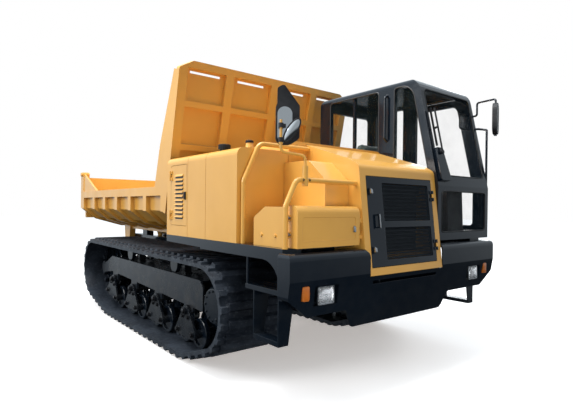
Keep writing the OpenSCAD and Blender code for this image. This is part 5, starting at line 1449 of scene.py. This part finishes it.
@dataclass(frozen=True)
class Stage:
    """Pale floor, soft studio light and the photograph's camera."""

    eye: Vec = (-3.5945, -5.6163, 1.6164)
    yaw_deg: float = 38.717
    pitch_deg: float = -0.298
    roll_deg: float = 0.651
    lens_mm: float = 28.53
    sensor_mm: float = 36.0
    sight: float = 200.0
    floor_half: float = 60.0
    floor_colour: Colour = (0.96, 0.96, 0.96)
    floor_shade: float = 0.985
    floor_noise: Pair = (0.6, 3.0)
    floor_roughness: float = 0.9
    floor_shine: float = 0.1
    floor_glow: float = 0.42
    glow_colour: Colour = (1.0, 0.94, 0.90)
    dusk: tuple[float, float] = (-0.25, -0.02)
    sky: tuple[float, float] = (0.08, 1.0)
    front: tuple[float, float] = (-0.80, 0.20)
    front_share: tuple[float, float] = (0.36, 1.0)
    sky_tint: Colour = (0.84, 0.93, 1.0)
    aim: Vec = (0.0, 0.0, 1.2)
    lamps: tuple[Lamp, ...] = (Lamp("key", (-9.5, 1.0, 6.0), 540.0, 5.0),
                               Lamp("fill", (-2.4, -6.6, 0.7), 95.0, 2.4, in_gloss=False),
                               Lamp("top", (-2.2, -1.2, 9.2), 900.0, 4.0),
                               Lamp("rim", (9.5, 1.5, 4.5), 260.0, 4.0))

    def build(self) -> None:
        """Make the camera, the floor, the area lights and the world."""
        self.add_camera()
        self.add_floor()
        for lamp in self.lamps:
            self.add_light(lamp)
        self.add_sky()
        bpy.context.scene.view_settings.view_transform = "Standard"

    def add_sky(self) -> None:
        """Make the world: a cool sky, dark under the horizon and dimmer in front of the machine.

        Two ramps over the direction's height and its depth are multiplied into the strength. What
        shows behind the machine is white all round.
        """
        world = bpy.data.worlds.new("sky")
        world.use_nodes = True
        nodes, links = world.node_tree.nodes, world.node_tree.links
        way = nodes.new("ShaderNodeTexCoord")
        parts = nodes.new("ShaderNodeSeparateXYZ")
        both = nodes.new("ShaderNodeMath")
        both.operation = "MULTIPLY"
        links.new(way.outputs["Generated"], parts.inputs["Vector"])
        ramps = (("Z", self.dusk, self.sky), ("Y", self.front, self.front_share))
        for socket, (axis, reach, share) in enumerate(ramps):
            ramp = nodes.new("ShaderNodeMapRange")
            for key, value in zip(("From Min", "From Max", "To Min", "To Max"), (*reach, *share)):
                ramp.inputs[key].default_value = value
            links.new(parts.outputs[axis], ramp.inputs["Value"])
            links.new(ramp.outputs["Result"], both.inputs[socket])
        seen = nodes.new("ShaderNodeMath")
        seen.operation = "MAXIMUM"
        links.new(both.outputs["Value"], seen.inputs[0])
        backdrop = nodes.new("ShaderNodeLightPath").outputs["Is Camera Ray"]
        links.new(backdrop, seen.inputs[1])
        links.new(seen.outputs["Value"], nodes["Background"].inputs["Strength"])
        tint = nodes.new("ShaderNodeMixRGB")
        tint.inputs["Color1"].default_value = (*self.sky_tint, 1.0)
        tint.inputs["Color2"].default_value = (1.0, 1.0, 1.0, 1.0)
        links.new(backdrop, tint.inputs["Fac"])
        links.new(tint.outputs["Color"], nodes["Background"].inputs["Color"])
        bpy.context.scene.world = world

    def add_camera(self) -> None:
        """Set the camera by yaw, pitch and roll, which turns right and up about the sight."""
        yaw, pitch, roll = (math.radians(a) for a in (self.yaw_deg, self.pitch_deg, self.roll_deg))
        ahead = np.array([math.sin(yaw) * math.cos(pitch), math.cos(yaw) * math.cos(pitch),
                          math.sin(pitch)])
        level = np.array([math.cos(yaw), -math.sin(yaw), 0.0])
        upright = np.cross(level, ahead)
        right = level * math.cos(roll) + upright * math.sin(roll)
        up = upright * math.cos(roll) - level * math.sin(roll)
        data = bpy.data.cameras.new("camera")
        data.lens = self.lens_mm
        data.sensor_width = self.sensor_mm
        data.clip_end = self.sight
        camera = bpy.data.objects.new("camera", data)
        bpy.context.collection.objects.link(camera)
        matrix = np.eye(4)
        matrix[:3] = np.column_stack([right, up, -ahead, self.eye])
        camera.matrix_world = Matrix(matrix.tolist())
        bpy.context.scene.camera = camera

    def add_floor(self) -> None:
        """Lay a wide pale floor at height 0 that throws no light back up at the machine."""
        h = self.floor_half
        mesh = bpy.data.meshes.new("floor")
        corners = [(-h, -h, 0.0), (h, -h, 0.0), (h, h, 0.0), (-h, h, 0.0)]
        mesh.from_pydata(corners, [], [(0, 1, 2, 3)])
        floor = bpy.data.objects.new("floor", mesh)
        bpy.context.collection.objects.link(floor)
        floor.visible_diffuse = floor.visible_glossy = False
        g = Graph("pale_floor")
        shade = dimmed(self.floor_colour, self.floor_shade)
        g.surface(Base_Color=g.mix(g.noise(*self.floor_noise), self.floor_colour, shade),
                  Roughness=self.floor_roughness, Specular_IOR_Level=self.floor_shine,
                  Emission_Color=(*self.glow_colour, 1.0), Emission_Strength=self.floor_glow)
        mesh.materials.append(g.material)

    def add_light(self, lamp: Lamp) -> None:
        """Hang a light that looks at the machine's middle.

        Args:
            lamp: The light.
        """
        data = bpy.data.lights.new(lamp.name, "AREA")
        data.energy = lamp.power
        data.size = lamp.size
        light = bpy.data.objects.new(lamp.name, data)
        bpy.context.collection.objects.link(light)
        light.visible_camera = False
        light.visible_glossy = lamp.in_gloss
        light.location = lamp.at
        x, y, z = np.array(self.aim) - np.array(lamp.at)
        light.rotation_euler = (math.atan2(math.hypot(x, y), -z), 0.0,
                                math.atan2(y, x) - math.pi / 2)


def main(frame: dict, wardrobe: Wardrobe) -> None:
    """Build the stage and every dressing class in order, and log each piece.

    Args:
        wardrobe: The finishes.
    """
    logging.basicConfig(level=logging.INFO, format="%(message)s")
    Stage().build()
    wardrobe.dress_nodes(frame)
    LOG.info("dressed %d nodes", len(frame["nodes"]))
    bench = Bench(wardrobe)
    for dressing in (GrilleDress(), BodyLatches(), LampDress(), MirrorDress(), CabSeals(),
                     SmallParts(), BedWelds()):
        dressing.dress(bench)
    SeatPads().dress(bench, frame)


if __name__ == "__main__":
    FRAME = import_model()
    main(FRAME, Wardrobe())
